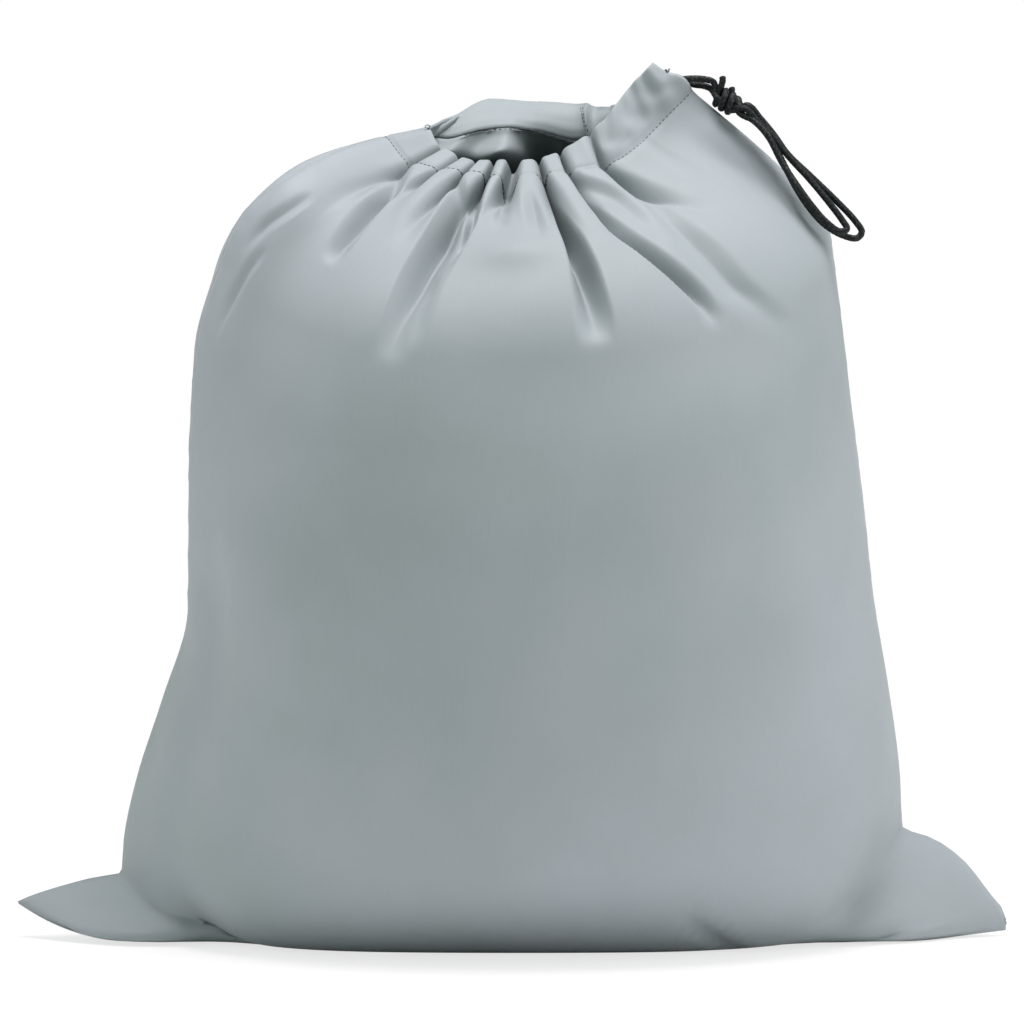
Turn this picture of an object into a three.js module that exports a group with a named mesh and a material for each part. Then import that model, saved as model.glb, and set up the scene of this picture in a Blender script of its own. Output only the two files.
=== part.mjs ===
// A filled drawstring storage sack, standing on its base. Millimetres, +Z up, the front faces -Y.
// Two cloth panels are sewn together at the sides and the bottom. Each ends at the top in a casing, folded
// inwards. A braided cord leaves the casings at the right, where it is doubled into two loops and knotted.
//
// A panel is a sheet over the plane (side, run): side goes from -1 at the left seam to 1 at the right seam,
// and run is the length of cloth from the bottom seam. Tables give the sheet at some runs, and curves join
// their rows.
import * as THREE from "three";

const CLOTH_THICKNESS = 1.5;
const SEAM_GAP = 0.3; // between the two panels where they are sewn
const SHOULDER_RUN = 390; // where the filled body ends and the neck begins
const STITCH_RUN = 498; // the casing's stitch line
const EDGE_RUN = 520; // the folded edge of the hem
const MOUTH_CENTRE = new THREE.Vector2(8, 0); // the neck's folds run towards this point
const NECK_PULL = 118; // how strongly the neck keeps its slopes at both ends
const RIGHT_PULL = 62; // the same at the right seam
const TURN_SPREAD = 0.35; // share of a panel over which the left seam's turn dies out
const GATHER_FADE = 62; // run of cloth over which the gathers die out below the stitch line
const GATHER_AT_EDGE = 0.4; // how much of a gather is left at the folded edge of the hem
const CORD_DIAMETER = 3.2;
const CORD_SIDES = 8;
const CORD_STEP = 7.6;

// One row for each level of the body. left and right are the side seams [x, z], which lie in the plane y = 0,
// and front and back are the middles of the panels [y, z].
const BODY = [
  { run: 0, left: [-248, 18], right: [248, 3], front: [0, 1.5], back: [0, 1.5] },
  { run: 8, left: [-242, 21.5], right: [247.6, 10], front: [-8, 1.5], back: [8, 1.5] },
  { run: 24, left: [-229, 27], right: [239, 22], front: [-24, 1.5], back: [26, 1.5] },
  { run: 44, left: [-211, 30], right: [226, 38], front: [-44, 1.5], back: [46, 1.5] },
  { run: 60, left: [-195.5, 31.5], right: [212, 48], front: [-58, 1.8], back: [62, 1.5] },
  { run: 80, left: [-193.5, 51], right: [195, 55], front: [-76, 8], back: [80, 6] },
  { run: 110, left: [-187, 80], right: [193, 84], front: [-100, 25], back: [102, 24] },
  { run: 150, left: [-174.5, 118], right: [187.5, 124], front: [-121.5, 58], back: [122.5, 58] },
  { run: 200, left: [-161, 164], right: [179.5, 172], front: [-133, 107], back: [133, 107] },
  { run: 250, left: [-160, 209], right: [174.5, 218], front: [-136, 157], back: [135, 157] },
  { run: 300, left: [-159.5, 257], right: [168.5, 264], front: [-135, 207], back: [132.5, 207] },
  { run: 345, left: [-158, 303], right: [163, 309], front: [-130.5, 251.5], back: [126.5, 251.5] },
  { run: 390, left: [-148, 346], right: [157.5, 350.5], front: [-120, 295], back: [114, 295] },
];

// How many degrees the left seam is turned towards the front, about the mouth's upright axis.
const TURNS = [
  { run: 240, angle: 0 },
  { run: 300, angle: 8 },
  { run: 345, angle: 15 },
  { run: 390, angle: 20 },
  { run: 430, angle: 23 },
  { run: 465, angle: 17 },
  { run: STITCH_RUN, angle: 0 },
];

// How a panel goes from its middle to its side seams. lie is 0 where the section is round and 1 where the
// sheet lies flat and runs out into the corners. climb says how late the sheet rises to its seams.
const CROSSING = [
  { run: 0, lie: 1, climb: 9 },
  { run: 24, lie: 1, climb: 8 },
  { run: 44, lie: 1, climb: 6 },
  { run: 60, lie: 0.7, climb: 5 },
  { run: 80, lie: 0.45, climb: 4 },
  { run: 110, lie: 0.2, climb: 3 },
  { run: 150, lie: 0, climb: 2.4 },
  { run: 200, lie: 0, climb: 2.2 },
  { run: 250, lie: 0, climb: 2 },
  { run: 390, lie: 0, climb: 2 },
];

// One row for each station around the mouth. stitch is a point of the stitch line, edge one of the hem's
// folded edge, and rise the slope in degrees at which the neck comes in.
const FRONT_MOUTH = [
  { side: -1, stitch: [-63, 0, 400], edge: [-40.5, 0, 404], rise: 14 },
  { side: -0.8, stitch: [-54, -15, 390], edge: [-37, -9, 397], rise: 18 },
  { side: -0.55, stitch: [-38, -28, 382], edge: [-28, -17, 390.5], rise: 24 },
  { side: -0.3, stitch: [-20, -36, 380], edge: [-15, -25, 387], rise: 28 },
  { side: -0.05, stitch: [0, -38, 377], edge: [2, -28, 386.5], rise: 28 },
  { side: 0.2, stitch: [18, -36, 380], edge: [15, -26, 389], rise: 28 },
  { side: 0.42, stitch: [34, -32, 381], edge: [30, -22, 394.5], rise: 28 },
  { side: 0.62, stitch: [52, -25, 388], edge: [44, -17, 407], rise: 32 },
  { side: 0.82, stitch: [71, -14, 405], edge: [58, -8, 425], rise: 36 },
  { side: 1, stitch: [89, 0, 423], edge: [69.5, 0, 437], rise: 42 },
];
const BACK_MOUTH = [
  { side: -1, stitch: [-63, 0, 400], edge: [-40.5, 0, 404], rise: 14 },
  { side: -0.8, stitch: [-54, 12, 398.5], edge: [-37.5, 14, 406.5], rise: 20 },
  { side: -0.5, stitch: [-36, 22, 398.5], edge: [-25.5, 32, 413.5], rise: 30 },
  { side: -0.2, stitch: [-13, 26, 401], edge: [-8.5, 41, 420.5], rise: 32 },
  { side: 0.1, stitch: [11, 28, 401], edge: [12.5, 42, 418.5], rise: 32 },
  { side: 0.4, stitch: [34, 27, 397.5], edge: [34.5, 38, 417.5], rise: 32 },
  { side: 0.65, stitch: [54, 22, 400], edge: [50, 27, 416.5], rise: 34 },
  { side: 0.83, stitch: [72, 15, 411], edge: [60, 12, 424], rise: 38 },
  { side: 1, stitch: [89, 0, 423], edge: [69.5, 0, 437], rise: 42 },
];

// Gathers of the casing: where the cloth stands out of the mouth's line, and where it is drawn in.
const FRONT_GATHERS = [
  { side: -1, out: 0 },
  { side: -0.9, out: 1.5 },
  { side: -0.75, out: -4.5 },
  { side: -0.62, out: 3 },
  { side: -0.5, out: -3.5 },
  { side: -0.42, out: 3 },
  { side: -0.34, out: -3.5 },
  { side: -0.27, out: 3.5 },
  { side: -0.2, out: -4.5 },
  { side: -0.145, out: 3.5 },
  { side: -0.09, out: -8 },
  { side: 0.04, out: 4 },
  { side: 0.175, out: -6.5 },
  { side: 0.255, out: 3.5 },
  { side: 0.33, out: -5 },
  { side: 0.43, out: 3.5 },
  { side: 0.56, out: -4 },
  { side: 0.66, out: 2 },
  { side: 0.78, out: 0 },
  { side: 0.89, out: 0 },
  { side: 1, out: 0 },
];
const BACK_GATHERS = [
  { side: -1, out: 0 },
  { side: -0.9, out: 0 },
  { side: -0.75, out: 0.5 },
  { side: -0.62, out: 0 },
  { side: -0.5, out: -1 },
  { side: -0.4, out: 0.5 },
  { side: -0.3, out: 0.5 },
  { side: -0.2, out: 0 },
  { side: -0.1, out: -0.5 },
  { side: 0.02, out: 0.5 },
  { side: 0.14, out: 1 },
  { side: 0.26, out: 1.5 },
  { side: 0.37, out: 0 },
  { side: 0.46, out: -5 },
  { side: 0.56, out: 1.5 },
  { side: 0.66, out: -3 },
  { side: 0.78, out: 0.5 },
  { side: 0.89, out: 0 },
  { side: 1, out: 0 },
];

// Long folds, as troughs from the mouth down the shoulder, seen square from the front: top and end [x, z],
// bow the sideways curve, depth at the top, and the half width at the top and at the end.
const FRONT_FOLDS = [
  { top: [-46, 386], end: [-84, 343], bow: 2, depth: 7, wide: [4.5, 10] },
  { top: [-21, 377], end: [-50, 297], bow: 4, depth: 10, wide: [4.5, 10] },
  { top: [-2, 380], end: [-2, 350], bow: 0, depth: 6, wide: [5, 8] },
  { top: [15, 384], end: [45, 298], bow: 3, depth: 13, wide: [4.5, 9] },
  { top: [29, 380], end: [94, 314], bow: -8, depth: 10, wide: [4.5, 10] },
  { top: [45, 383], end: [76, 352], bow: -2, depth: 6, wide: [4, 7] },
  { top: [76, 362], end: [133, 318], bow: -3, depth: 4.5, wide: [8, 12] },
];
const BACK_FOLDS = [
  { top: [-48, 394], end: [-96, 338], bow: 3, depth: 7, wide: [5, 10] },
  { top: [-29, 396], end: [-62, 300], bow: 3, depth: 9, wide: [5, 10] },
  { top: [0, 396], end: [-10, 290], bow: 0, depth: 11, wide: [5, 10] },
  { top: [24, 398], end: [44, 318], bow: 2, depth: 7, wide: [5, 9] },
  { top: [38, 398], end: [82, 302], bow: -4, depth: 10, wide: [5, 10] },
  { top: [55, 402], end: [112, 346], bow: -3, depth: 7, wide: [5, 9] },
];

// Soft dents and swellings of the sheet: centre [side, run], spread [side, run] and push [x, y, z].
// Those of both panels keep the seams together.
const SEAM_PUSHES = [
  { at: [-0.8, 0], spread: [0.15, 46], push: [0, -30, 0] },
  { at: [0.78, 0], spread: [0.13, 46], push: [0, -20, 0] },
  { at: [-1, 150], spread: [0.3, 60], push: [0, 5, 0] },
  { at: [1, 250], spread: [0.3, 80], push: [0, 4, 0] },
  { at: [1, 504.5], spread: [0.1, 5.5], push: [1.4, 0, 2.2] },
];
const FRONT_PUSHES = [
  { at: [-0.72, 62], spread: [0.1, 30], push: [4, 7, 3] },
  { at: [0.78, 84], spread: [0.1, 30], push: [-2, 6, 0] },
  { at: [-0.74, 190], spread: [0.07, 90], push: [3, 5, 0] },
  { at: [0.5, 150], spread: [0.3, 70], push: [0, -4, 0] },
  { at: [0.88, 455], spread: [0.05, 20], push: [-3, 3, -2] },
];
const BACK_PUSHES = [
  { at: [0.7, 66], spread: [0.1, 30], push: [-4, -6, 3] },
  { at: [-0.76, 84], spread: [0.1, 30], push: [2, -6, 0] },
  { at: [-0.3, 180], spread: [0.25, 80], push: [0, 5, 0] },
  { at: [0.2, 240], spread: [0.08, 80], push: [0, -4, 0] },
  { at: [-0.85, 460], spread: [0.15, 35], push: [-2, 0, 3] },
  { at: [-0.42, 476], spread: [0.26, 15], push: [0, -30, 5] },
];

// The fold of the hem, beyond the last row of the outer layer: run along the casing, and the depth of the
// channel's wall inside the outer layer. The last row ends the hem just over the stitch line.
const HEM = [
  { run: 519.6, inside: 0.6 },
  { run: 520.4, inside: 2.3 },
  { run: 519.6, inside: 4.2 },
  { run: 517.5, inside: 5 },
  { run: 509, inside: 5 },
  { run: 502.5, inside: 4.6 },
  { run: 498.6, inside: 0.5 },
];

// At the right the side seam stops under the casings, which end side by side. apart is half the distance
// between the panels there.
const RIGHT_PARTING = [
  { run: 0, apart: SEAM_GAP / 2 },
  { run: 478, apart: SEAM_GAP / 2 },
  { run: STITCH_RUN, apart: 2.3 },
  { run: 505, apart: 6.8 },
  { run: EDGE_RUN, apart: 6.8 },
];
const PARTING_FROM = 0.8; // side beyond which the panels part

const BODY_RUNS = [0, 8, 26, 44, 60, 80, 106, 140, 182, 226, 272, 314, 348, 376];
const NECK_RUNS = [398, 418, 436, 452, 466, 478, 488];
const CASING_RUNS = [STITCH_RUN, 503, 511, 517.5];

// The cord's routes, from the casings through the knot and round each loop to a short free end.
const KNOT = { centre: [105.8, -4.4, 418.6], size: [6.4, 6, 7.6], lean: -30 };
const CORD_ROUTES = [
  {
    name: "cord_front_strand",
    points: [
      [71, -7.8, 419.5], [75.3, -6.8, 424.2], [80, -4.9, 428.2], [85.5, -3.8, 429.4],
      [91, -3.6, 429.5], [95.8, -3.9, 428.8], [99.8, -4.2, 425.8],
    ],
  },
  {
    name: "cord_back_strand",
    points: [
      [72.4, 10.4, 419.4], [76.6, 8.2, 424.1], [80.9, 5.4, 427.7], [85.5, 3.5, 428.9],
      [90.9, 1.2, 426], [95, -0.9, 424.7], [98, -2.4, 421.6],
    ],
  },
  {
    name: "cord_outer_loop",
    points: [
      [113.3, -5.3, 417.6], [117.8, -7.2, 415.4], [123.6, -8, 409.4], [129.5, -8.8, 402],
      [136.8, -10.8, 391.8], [148, -13.4, 381], [160.4, -15.8, 369], [169.8, -17.4, 359],
      [173, -18.2, 353.6], [170.6, -18.8, 350.6], [163, -19.2, 352.2], [154.4, -20.6, 357.4],
      [146.8, -22, 365.6], [140.2, -17, 376], [133.6, -9.8, 389.4], [128.4, -5.4, 400.2],
      [123.8, -4.6, 405.2], [118.6, -4.6, 409.4], [112.4, -4.8, 412.6],
    ],
  },
  {
    name: "cord_inner_loop",
    points: [
      [112.6, -8.8, 416.2], [116.4, -10.8, 414.2], [122.2, -11.6, 407.8], [128.4, -12.4, 400.4],
      [135.4, -14.6, 389.6], [145.6, -17.4, 378.8], [155.2, -20, 368], [162.2, -21.8, 359.4],
      [165.2, -22.8, 355], [162.2, -23.6, 354.2], [156, -24.8, 359.6], [149.4, -26, 367.4],
      [142.6, -23.4, 376.8], [133.2, -18.6, 388], [127.2, -16, 399], [122.8, -13.8, 404.6],
      [117.6, -10.8, 409], [112.2, -8.4, 411.6],
    ],
  },
  { name: "cord_front_end", points: [[104.6, -5.2, 427.4], [104.5, -5.1, 429.2], [104.3, -5, 430.8]] },
  { name: "cord_back_end", points: [[109, -4.5, 426.2], [109, -4.3, 427], [108.9, -4.2, 428]] },
];

const PANEL_FINISH = { roughness: 0.5, metalness: 0 };
const FRONT_COLOUR = 0x8b9696;
const BACK_COLOUR = 0x848f90;
const CORD_FINISH = { color: 0x1f2625, roughness: 0.75, metalness: 0 };

/** A smooth curve through (at, value) pairs that never overshoots them. A level start sets out flat. */
function curveThrough(at, value, levelStart = false) {
  const last = at.length - 1;
  const slope = at.slice(1).map((x, i) => (value[i + 1] - value[i]) / (x - at[i]));
  const tangent = at.map((x, i) => {
    if (i === 0 && levelStart) return 0;
    if (i === 0 || i === last) return slope[Math.min(i, last - 1)];
    if (slope[i - 1] * slope[i] <= 0) return 0;
    return (2 * slope[i - 1] * slope[i]) / (slope[i - 1] + slope[i]);
  });
  return (x) => {
    const i = Math.max(0, at.findLastIndex((start, k) => start <= x && k < last));
    const step = at[i + 1] - at[i];
    const q = (x - at[i]) / step;
    if (x > at[last]) return value[last] + (x - at[last]) * tangent[last];
    return hermite(q, value[i], tangent[i] * step, value[i + 1], tangent[i + 1] * step);
  };
}

/** Cubic from one value and slope to the next. */
function hermite(q, from, fromSlope, to, toSlope) {
  const a = (1 + 2 * q) * (1 - q) ** 2;
  const b = q * (1 - q) ** 2;
  const c = q ** 2 * (3 - 2 * q);
  const d = q ** 2 * (q - 1);
  return a * from + b * fromSlope + c * to + d * toSlope;
}

/** A table's column as a curve over its key column. */
function column(table, key, pick, levelStart) {
  return curveThrough(table.map((row) => row[key]), table.map(pick), levelStart);
}

/** A seam's points over the body's runs, in the plane y = 0. */
function seamColumn(name) {
  const across = column(BODY, "run", (row) => row[name][0]);
  const height = column(BODY, "run", (row) => row[name][1]);
  return (run) => new THREE.Vector3(across(run), 0, height(run));
}

/** Three columns of a table, as one curve of points. */
function pointColumn(table, key, name, levels) {
  const axes = levels.map((level, axis) => column(table, key, (row) => row[name][axis], level));
  return (x) => new THREE.Vector3(...axes.map((axis) => axis(x)));
}

const leftSeam = seamColumn("left");
const rightSeam = seamColumn("right");
const lieAt = column(CROSSING, "run", (row) => row.lie);
const climbAt = column(CROSSING, "run", (row) => row.climb);
const rightParting = column(RIGHT_PARTING, "run", (row) => row.apart);
const turnAt = column(TURNS, "run", (row) => row.angle);

/** Everything that tells one panel from the other. facing is -1 for the front and 1 for the back. */
function panelOf(facing, middle, mouth, gathers, folds, pushes) {
  return {
    facing,
    middleY: column(BODY, "run", (row) => row[middle][0]),
    middleZ: column(BODY, "run", (row) => row[middle][1]),
    stitch: pointColumn(mouth, "side", "stitch", [true, false, true]),
    edge: pointColumn(mouth, "side", "edge", [true, false, true]),
    rise: column(mouth, "side", (row) => row.rise),
    gather: column(gathers, "side", (row) => row.out),
    gatherSides: gathers.map((row) => row.side),
    folds,
    pushes,
  };
}

/** Bell of height 1, for a distance in half widths. */
const bell = (distance) => Math.exp(-(distance ** 2));

/** A point of the filled body: from the middle of the panel round to the seam. */
function bodyPoint(panel, side, run) {
  const out = Math.abs(side);
  const seam = side < 0 ? leftSeam(run) : rightSeam(run);
  const middle = new THREE.Vector3(0, panel.middleY(run), panel.middleZ(run));
  const lie = lieAt(run);
  const across = THREE.MathUtils.lerp(Math.sin((out * Math.PI) / 2), out, lie);
  const deep = THREE.MathUtils.lerp(1 - Math.cos((out * Math.PI) / 2), out ** 4, lie);
  return new THREE.Vector3(
    THREE.MathUtils.lerp(middle.x, seam.x, across),
    THREE.MathUtils.lerp(middle.y, seam.y, deep),
    THREE.MathUtils.lerp(middle.z, seam.z, out ** climbAt(run)),
  );
}

/** How far the dents and swellings move a point. */
function pushAt(panel, side, run) {
  const { smoothstep } = THREE.MathUtils;
  const offSeam = smoothstep(1 - Math.abs(side), 0, 0.1) * smoothstep(run, 0, 30);
  const moved = new THREE.Vector3();
  for (const [pushes, share] of [[SEAM_PUSHES, 1], [panel.pushes, offSeam]]) {
    for (const { at, spread, push } of pushes) {
      const weight = share * bell((side - at[0]) / spread[0]) * bell((run - at[1]) / spread[1]);
      moved.addScaledVector(new THREE.Vector3(...push), weight);
    }
  }
  return moved;
}

/** A point of the neck, which leaves the body in its own slope and comes to the stitch line at its rise. */
function neckPoint(panel, side, run) {
  const span = STITCH_RUN - SHOULDER_RUN;
  const q = (run - SHOULDER_RUN) / span;
  const pull = THREE.MathUtils.lerp(NECK_PULL, RIGHT_PULL, THREE.MathUtils.smoothstep(side, 0.5, 1));
  const from = bodyPoint(panel, side, SHOULDER_RUN);
  const fromSlope = from.clone().sub(bodyPoint(panel, side, SHOULDER_RUN - 1)).setLength(pull);
  const to = panel.stitch(side);
  const rise = THREE.MathUtils.degToRad(panel.rise(side));
  const inwards = MOUTH_CENTRE.clone().sub(new THREE.Vector2(to.x, to.y)).normalize();
  const toSlope = new THREE.Vector3(inwards.x, inwards.y, Math.tan(rise)).setLength(pull);
  return new THREE.Vector3(
    hermite(q, from.x, fromSlope.x, to.x, toSlope.x),
    hermite(q, from.y, fromSlope.y, to.y, toSlope.y),
    hermite(q, from.z, fromSlope.z, to.z, toSlope.z),
  );
}

/** Height in the casing: 0 at the stitch line, 1 at the folded edge. */
const casingHeight = (run) => (run - STITCH_RUN) / (EDGE_RUN - STITCH_RUN);

/** Turns a point about the mouth's upright axis, most at the left seam. */
function turn(point, side, run) {
  const within = THREE.MathUtils.clamp(run, TURNS[0].run, STITCH_RUN);
  const angle = THREE.MathUtils.degToRad(turnAt(within)) * bell((1 + side) / TURN_SPREAD);
  const flat = new THREE.Vector2(point.x, point.y).rotateAround(MOUTH_CENTRE, angle);
  return point.set(flat.x, flat.y, point.z);
}

/** A point of the sheet before it is gathered. Beyond the edge the casing goes straight on. */
function smoothPoint(panel, side, run) {
  const height = casingHeight(run);
  let point = bodyPoint(panel, side, Math.min(run, SHOULDER_RUN));
  if (run > SHOULDER_RUN) point = neckPoint(panel, side, Math.min(run, STITCH_RUN));
  if (run > STITCH_RUN) point = panel.stitch(side).lerp(panel.edge(side), height);
  point = turn(point.add(pushAt(panel, side, run)), side, run);
  const right = THREE.MathUtils.smoothstep(side, PARTING_FROM, 1);
  const apart = THREE.MathUtils.lerp(SEAM_GAP / 2, rightParting(run), right);
  point.y += panel.facing * apart;
  return point;
}

/** Which way the sheet faces there. */
function smoothNormal(panel, side, run) {
  const [near, far] = side > 0 ? [side - 0.01, side] : [side, side + 0.01];
  const below = run > STITCH_RUN ? run - 0.5 : Math.max(run - 0.5, 0);
  const across = smoothPoint(panel, far, run).sub(smoothPoint(panel, near, run));
  const upwards = smoothPoint(panel, side, below + 0.5).sub(smoothPoint(panel, side, below));
  return across.cross(upwards).multiplyScalar(-panel.facing).normalize();
}

/** How far the long folds draw the sheet in, at a point of its front view. */
function foldDepth(panel, x, z) {
  let depth = 0;
  for (const { top, end, bow, depth: deepest, wide } of panel.folds) {
    const along = new THREE.Vector2(end[0] - top[0], end[1] - top[1]);
    const length = along.length();
    along.divideScalar(length);
    const from = new THREE.Vector2(x - top[0], z - top[1]);
    const q = THREE.MathUtils.clamp(from.dot(along) / length, 0, 1);
    const beyond = from.dot(along) - q * length;
    const beside = from.cross(along) - 4 * bow * q * (1 - q);
    const width = THREE.MathUtils.lerp(wide[0], wide[1], q);
    const offset = Math.hypot(beside, beyond > 0 ? beyond : beyond / 3) / width;
    depth += deepest * (1 - 0.7 * q) * (bell(offset) - 0.4 * bell((offset - 1.9) / 0.9));
  }
  return depth;
}

/** A point of the finished sheet, inside by a distance from the outer layer. */
function sheetPoint(panel, side, run, inside = 0) {
  const onNeck = smoothPoint(panel, side, Math.min(run, STITCH_RUN));
  const nearSeam = THREE.MathUtils.smoothstep(1 - Math.abs(side), 0, 0.12);
  const fade = THREE.MathUtils.smoothstep(run, STITCH_RUN - GATHER_FADE, STITCH_RUN);
  const shoulder = THREE.MathUtils.smoothstep(run, SHOULDER_RUN - 90, SHOULDER_RUN - 20);
  const flattened = 1 - (1 - GATHER_AT_EDGE) * THREE.MathUtils.clamp(casingHeight(run), 0, 1);
  const gathered = panel.gather(side) * fade * flattened;
  const drawn = foldDepth(panel, onNeck.x, onNeck.z) * nearSeam * shoulder * (1 - 0.6 * fade);
  const normal = smoothNormal(panel, side, run);
  const point = smoothPoint(panel, side, run).addScaledVector(normal, gathered - drawn - inside);
  return run < STITCH_RUN ? point : onOwnSide(panel, point);
}

/** Keeps a point of the casing on its own panel's side of the mouth's corners. */
function onOwnSide(panel, point) {
  point.y = panel.facing * Math.max(panel.facing * point.y, SEAM_GAP / 2);
  return point;
}

/** Sides of the grid's columns: every crest and trough of the gathers, the flanks between, and the seams. */
function gridSides(panel) {
  const sides = panel.gatherSides;
  return sides.flatMap((side, i) => (i === 0 ? [side] : [(side + sides[i - 1]) / 2, side]));
}

/** The panel's solid: the sheet's inner face, its outer face one thickness out, and its edge strips. */
function panelGeometry(panel) {
  const sides = gridSides(panel);
  const outer = [...BODY_RUNS, ...NECK_RUNS, ...CASING_RUNS].map((run) => ({ run, inside: 0 }));
  const rows = [...outer, ...HEM];
  const inner = rows.map(({ run, inside }) => sides.map((side) => sheetPoint(panel, side, run, inside)));
  const skin = inner.map((row, i) =>
    row.map((point, j) => {
      const before = inner[Math.max(i - 1, 0)][j];
      const after = inner[Math.min(i + 1, rows.length - 1)][j];
      const left = row[Math.max(j - 1, 0)];
      const right = row[Math.min(j + 1, sides.length - 1)];
      const normal = right.clone().sub(left).cross(after.clone().sub(before)).multiplyScalar(-panel.facing);
      const grown = point.clone().addScaledVector(normal.normalize(), CLOTH_THICKNESS);
      grown.z = Math.max(grown.z, 0);
      return rows[i].run < STITCH_RUN ? grown : onOwnSide(panel, grown);
    }),
  );
  const width = sides.length;
  const points = [...inner.flat(), ...skin.flat()];
  const innerIndex = (i, j) => i * width + j;
  const skinIndex = (i, j) => rows.length * width + i * width + j;
  const faces = [];
  const quad = (a, b, c, d) => faces.push(...(panel.facing < 0 ? [a, b, c, a, c, d] : [a, c, b, a, d, c]));
  for (let i = 0; i < rows.length - 1; i++) {
    for (let j = 0; j < width - 1; j++) {
      quad(skinIndex(i, j), skinIndex(i, j + 1), skinIndex(i + 1, j + 1), skinIndex(i + 1, j));
      quad(innerIndex(i, j), innerIndex(i + 1, j), innerIndex(i + 1, j + 1), innerIndex(i, j + 1));
    }
    const end = width - 1;
    quad(innerIndex(i, 0), skinIndex(i, 0), skinIndex(i + 1, 0), innerIndex(i + 1, 0));
    quad(skinIndex(i, end), innerIndex(i, end), innerIndex(i + 1, end), skinIndex(i + 1, end));
  }
  const top = rows.length - 1;
  for (let j = 0; j < width - 1; j++) {
    quad(innerIndex(0, j), innerIndex(0, j + 1), skinIndex(0, j + 1), skinIndex(0, j));
    quad(skinIndex(top, j), skinIndex(top, j + 1), innerIndex(top, j + 1), innerIndex(top, j));
  }
  const positions = new Float32Array(points.flatMap((point) => point.toArray()));
  return new THREE.BufferGeometry()
    .setAttribute("position", new THREE.BufferAttribute(positions, 3))
    .setIndex(faces);
}

/** A length of round cord along its route. */
function cordGeometry(points) {
  const stops = points.map((point) => new THREE.Vector3(...point));
  const route = new THREE.CatmullRomCurve3(stops, false, "centripetal");
  const radius = CORD_DIAMETER / 2;
  const turns = Array.from({ length: CORD_SIDES }, (_, i) => (2 * Math.PI * i) / CORD_SIDES);
  const corners = turns.map((turn) => new THREE.Vector2(radius * Math.cos(turn), radius * Math.sin(turn)));
  const section = new THREE.Shape(corners);
  const steps = Math.max(2, Math.round(route.getLength() / CORD_STEP));
  return new THREE.ExtrudeGeometry(section, { steps, bevelEnabled: false, extrudePath: route });
}

/** The knot's outer shape: a plain egg, leaning along the bundle of strands. */
function knotMesh() {
  const material = new THREE.MeshStandardMaterial(CORD_FINISH);
  const knot = new THREE.Mesh(new THREE.SphereGeometry(1, 14, 10), material);
  knot.name = "cord_knot";
  knot.scale.set(...KNOT.size);
  knot.rotation.y = THREE.MathUtils.degToRad(KNOT.lean);
  knot.position.set(...KNOT.centre);
  return knot;
}

const sack = new THREE.Group();
const frontPanel = panelOf(-1, "front", FRONT_MOUTH, FRONT_GATHERS, FRONT_FOLDS, FRONT_PUSHES);
const backPanel = panelOf(1, "back", BACK_MOUTH, BACK_GATHERS, BACK_FOLDS, BACK_PUSHES);
for (const [name, panel, color] of [
  ["front_panel", frontPanel, FRONT_COLOUR],
  ["back_panel", backPanel, BACK_COLOUR],
]) {
  const material = new THREE.MeshStandardMaterial({ ...PANEL_FINISH, color });
  const mesh = new THREE.Mesh(panelGeometry(panel), material);
  mesh.name = name;
  sack.add(mesh);
}

const drawcord = new THREE.Group();
for (const { name, points } of CORD_ROUTES) {
  const mesh = new THREE.Mesh(cordGeometry(points), new THREE.MeshStandardMaterial(CORD_FINISH));
  mesh.name = name;
  drawcord.add(mesh);
}
drawcord.add(knotMesh());
sack.add(drawcord);

export default sack;
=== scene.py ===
"""A filled drawstring storage sack of satin grey cloth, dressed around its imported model.

Metres, +Z up, the front faces -Y. Two panels are sheets over (side, run): side goes from -1 at the left
seam to 1 at the right seam, and run is the length of cloth from the bottom seam. Each panel ends in a
casing at the top, and a braided cord leaves the casings at the right, where it is doubled into two loops
and knotted.
"""
import logging
import math
from dataclasses import dataclass
from enum import Enum
from typing import Callable

import bpy
import numpy as np
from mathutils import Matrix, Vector


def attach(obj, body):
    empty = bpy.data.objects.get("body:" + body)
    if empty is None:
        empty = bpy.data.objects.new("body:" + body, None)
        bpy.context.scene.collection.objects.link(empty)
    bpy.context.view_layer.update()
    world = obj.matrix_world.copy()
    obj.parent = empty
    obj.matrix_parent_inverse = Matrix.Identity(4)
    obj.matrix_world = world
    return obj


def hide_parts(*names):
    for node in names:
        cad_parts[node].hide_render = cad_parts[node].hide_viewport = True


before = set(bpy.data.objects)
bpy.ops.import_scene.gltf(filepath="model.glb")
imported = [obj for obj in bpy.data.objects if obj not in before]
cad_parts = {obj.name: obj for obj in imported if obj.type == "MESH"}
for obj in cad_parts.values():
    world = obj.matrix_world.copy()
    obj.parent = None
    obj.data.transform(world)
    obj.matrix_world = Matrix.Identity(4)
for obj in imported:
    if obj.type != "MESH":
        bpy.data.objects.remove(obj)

Array = np.ndarray
Pair = tuple[float, float]
Triple = tuple[float, float, float]
Colour = tuple[float, float, float, float]
Piece = bpy.types.Object
Material = bpy.types.Material
Socket = bpy.types.NodeSocket

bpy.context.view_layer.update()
LOG = logging.getLogger("sack")
BODY = "root"
FINE_CUTS = 40  # steps in which a stretch is worked out before it is cut evenly
SHORTEST = 1e-12  # a vector's length is taken as no less


# --- Curves and meshes ---


def smooth_step(x: Array, low: float, high: float) -> Array:
    """0 below low, 1 above high, and a smooth rise between."""
    q = np.clip((np.asarray(x, float) - low) / (high - low), 0.0, 1.0)
    return q * q * (3.0 - 2.0 * q)


def bell(distance: Array) -> Array:
    """Bell of height 1, for a distance in half widths."""
    return np.exp(-np.square(distance))


def mix(a: Array, b: Array, share: Array) -> Array:
    """a where share is 0, b where it is 1."""
    return a + (b - a) * share


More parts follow.
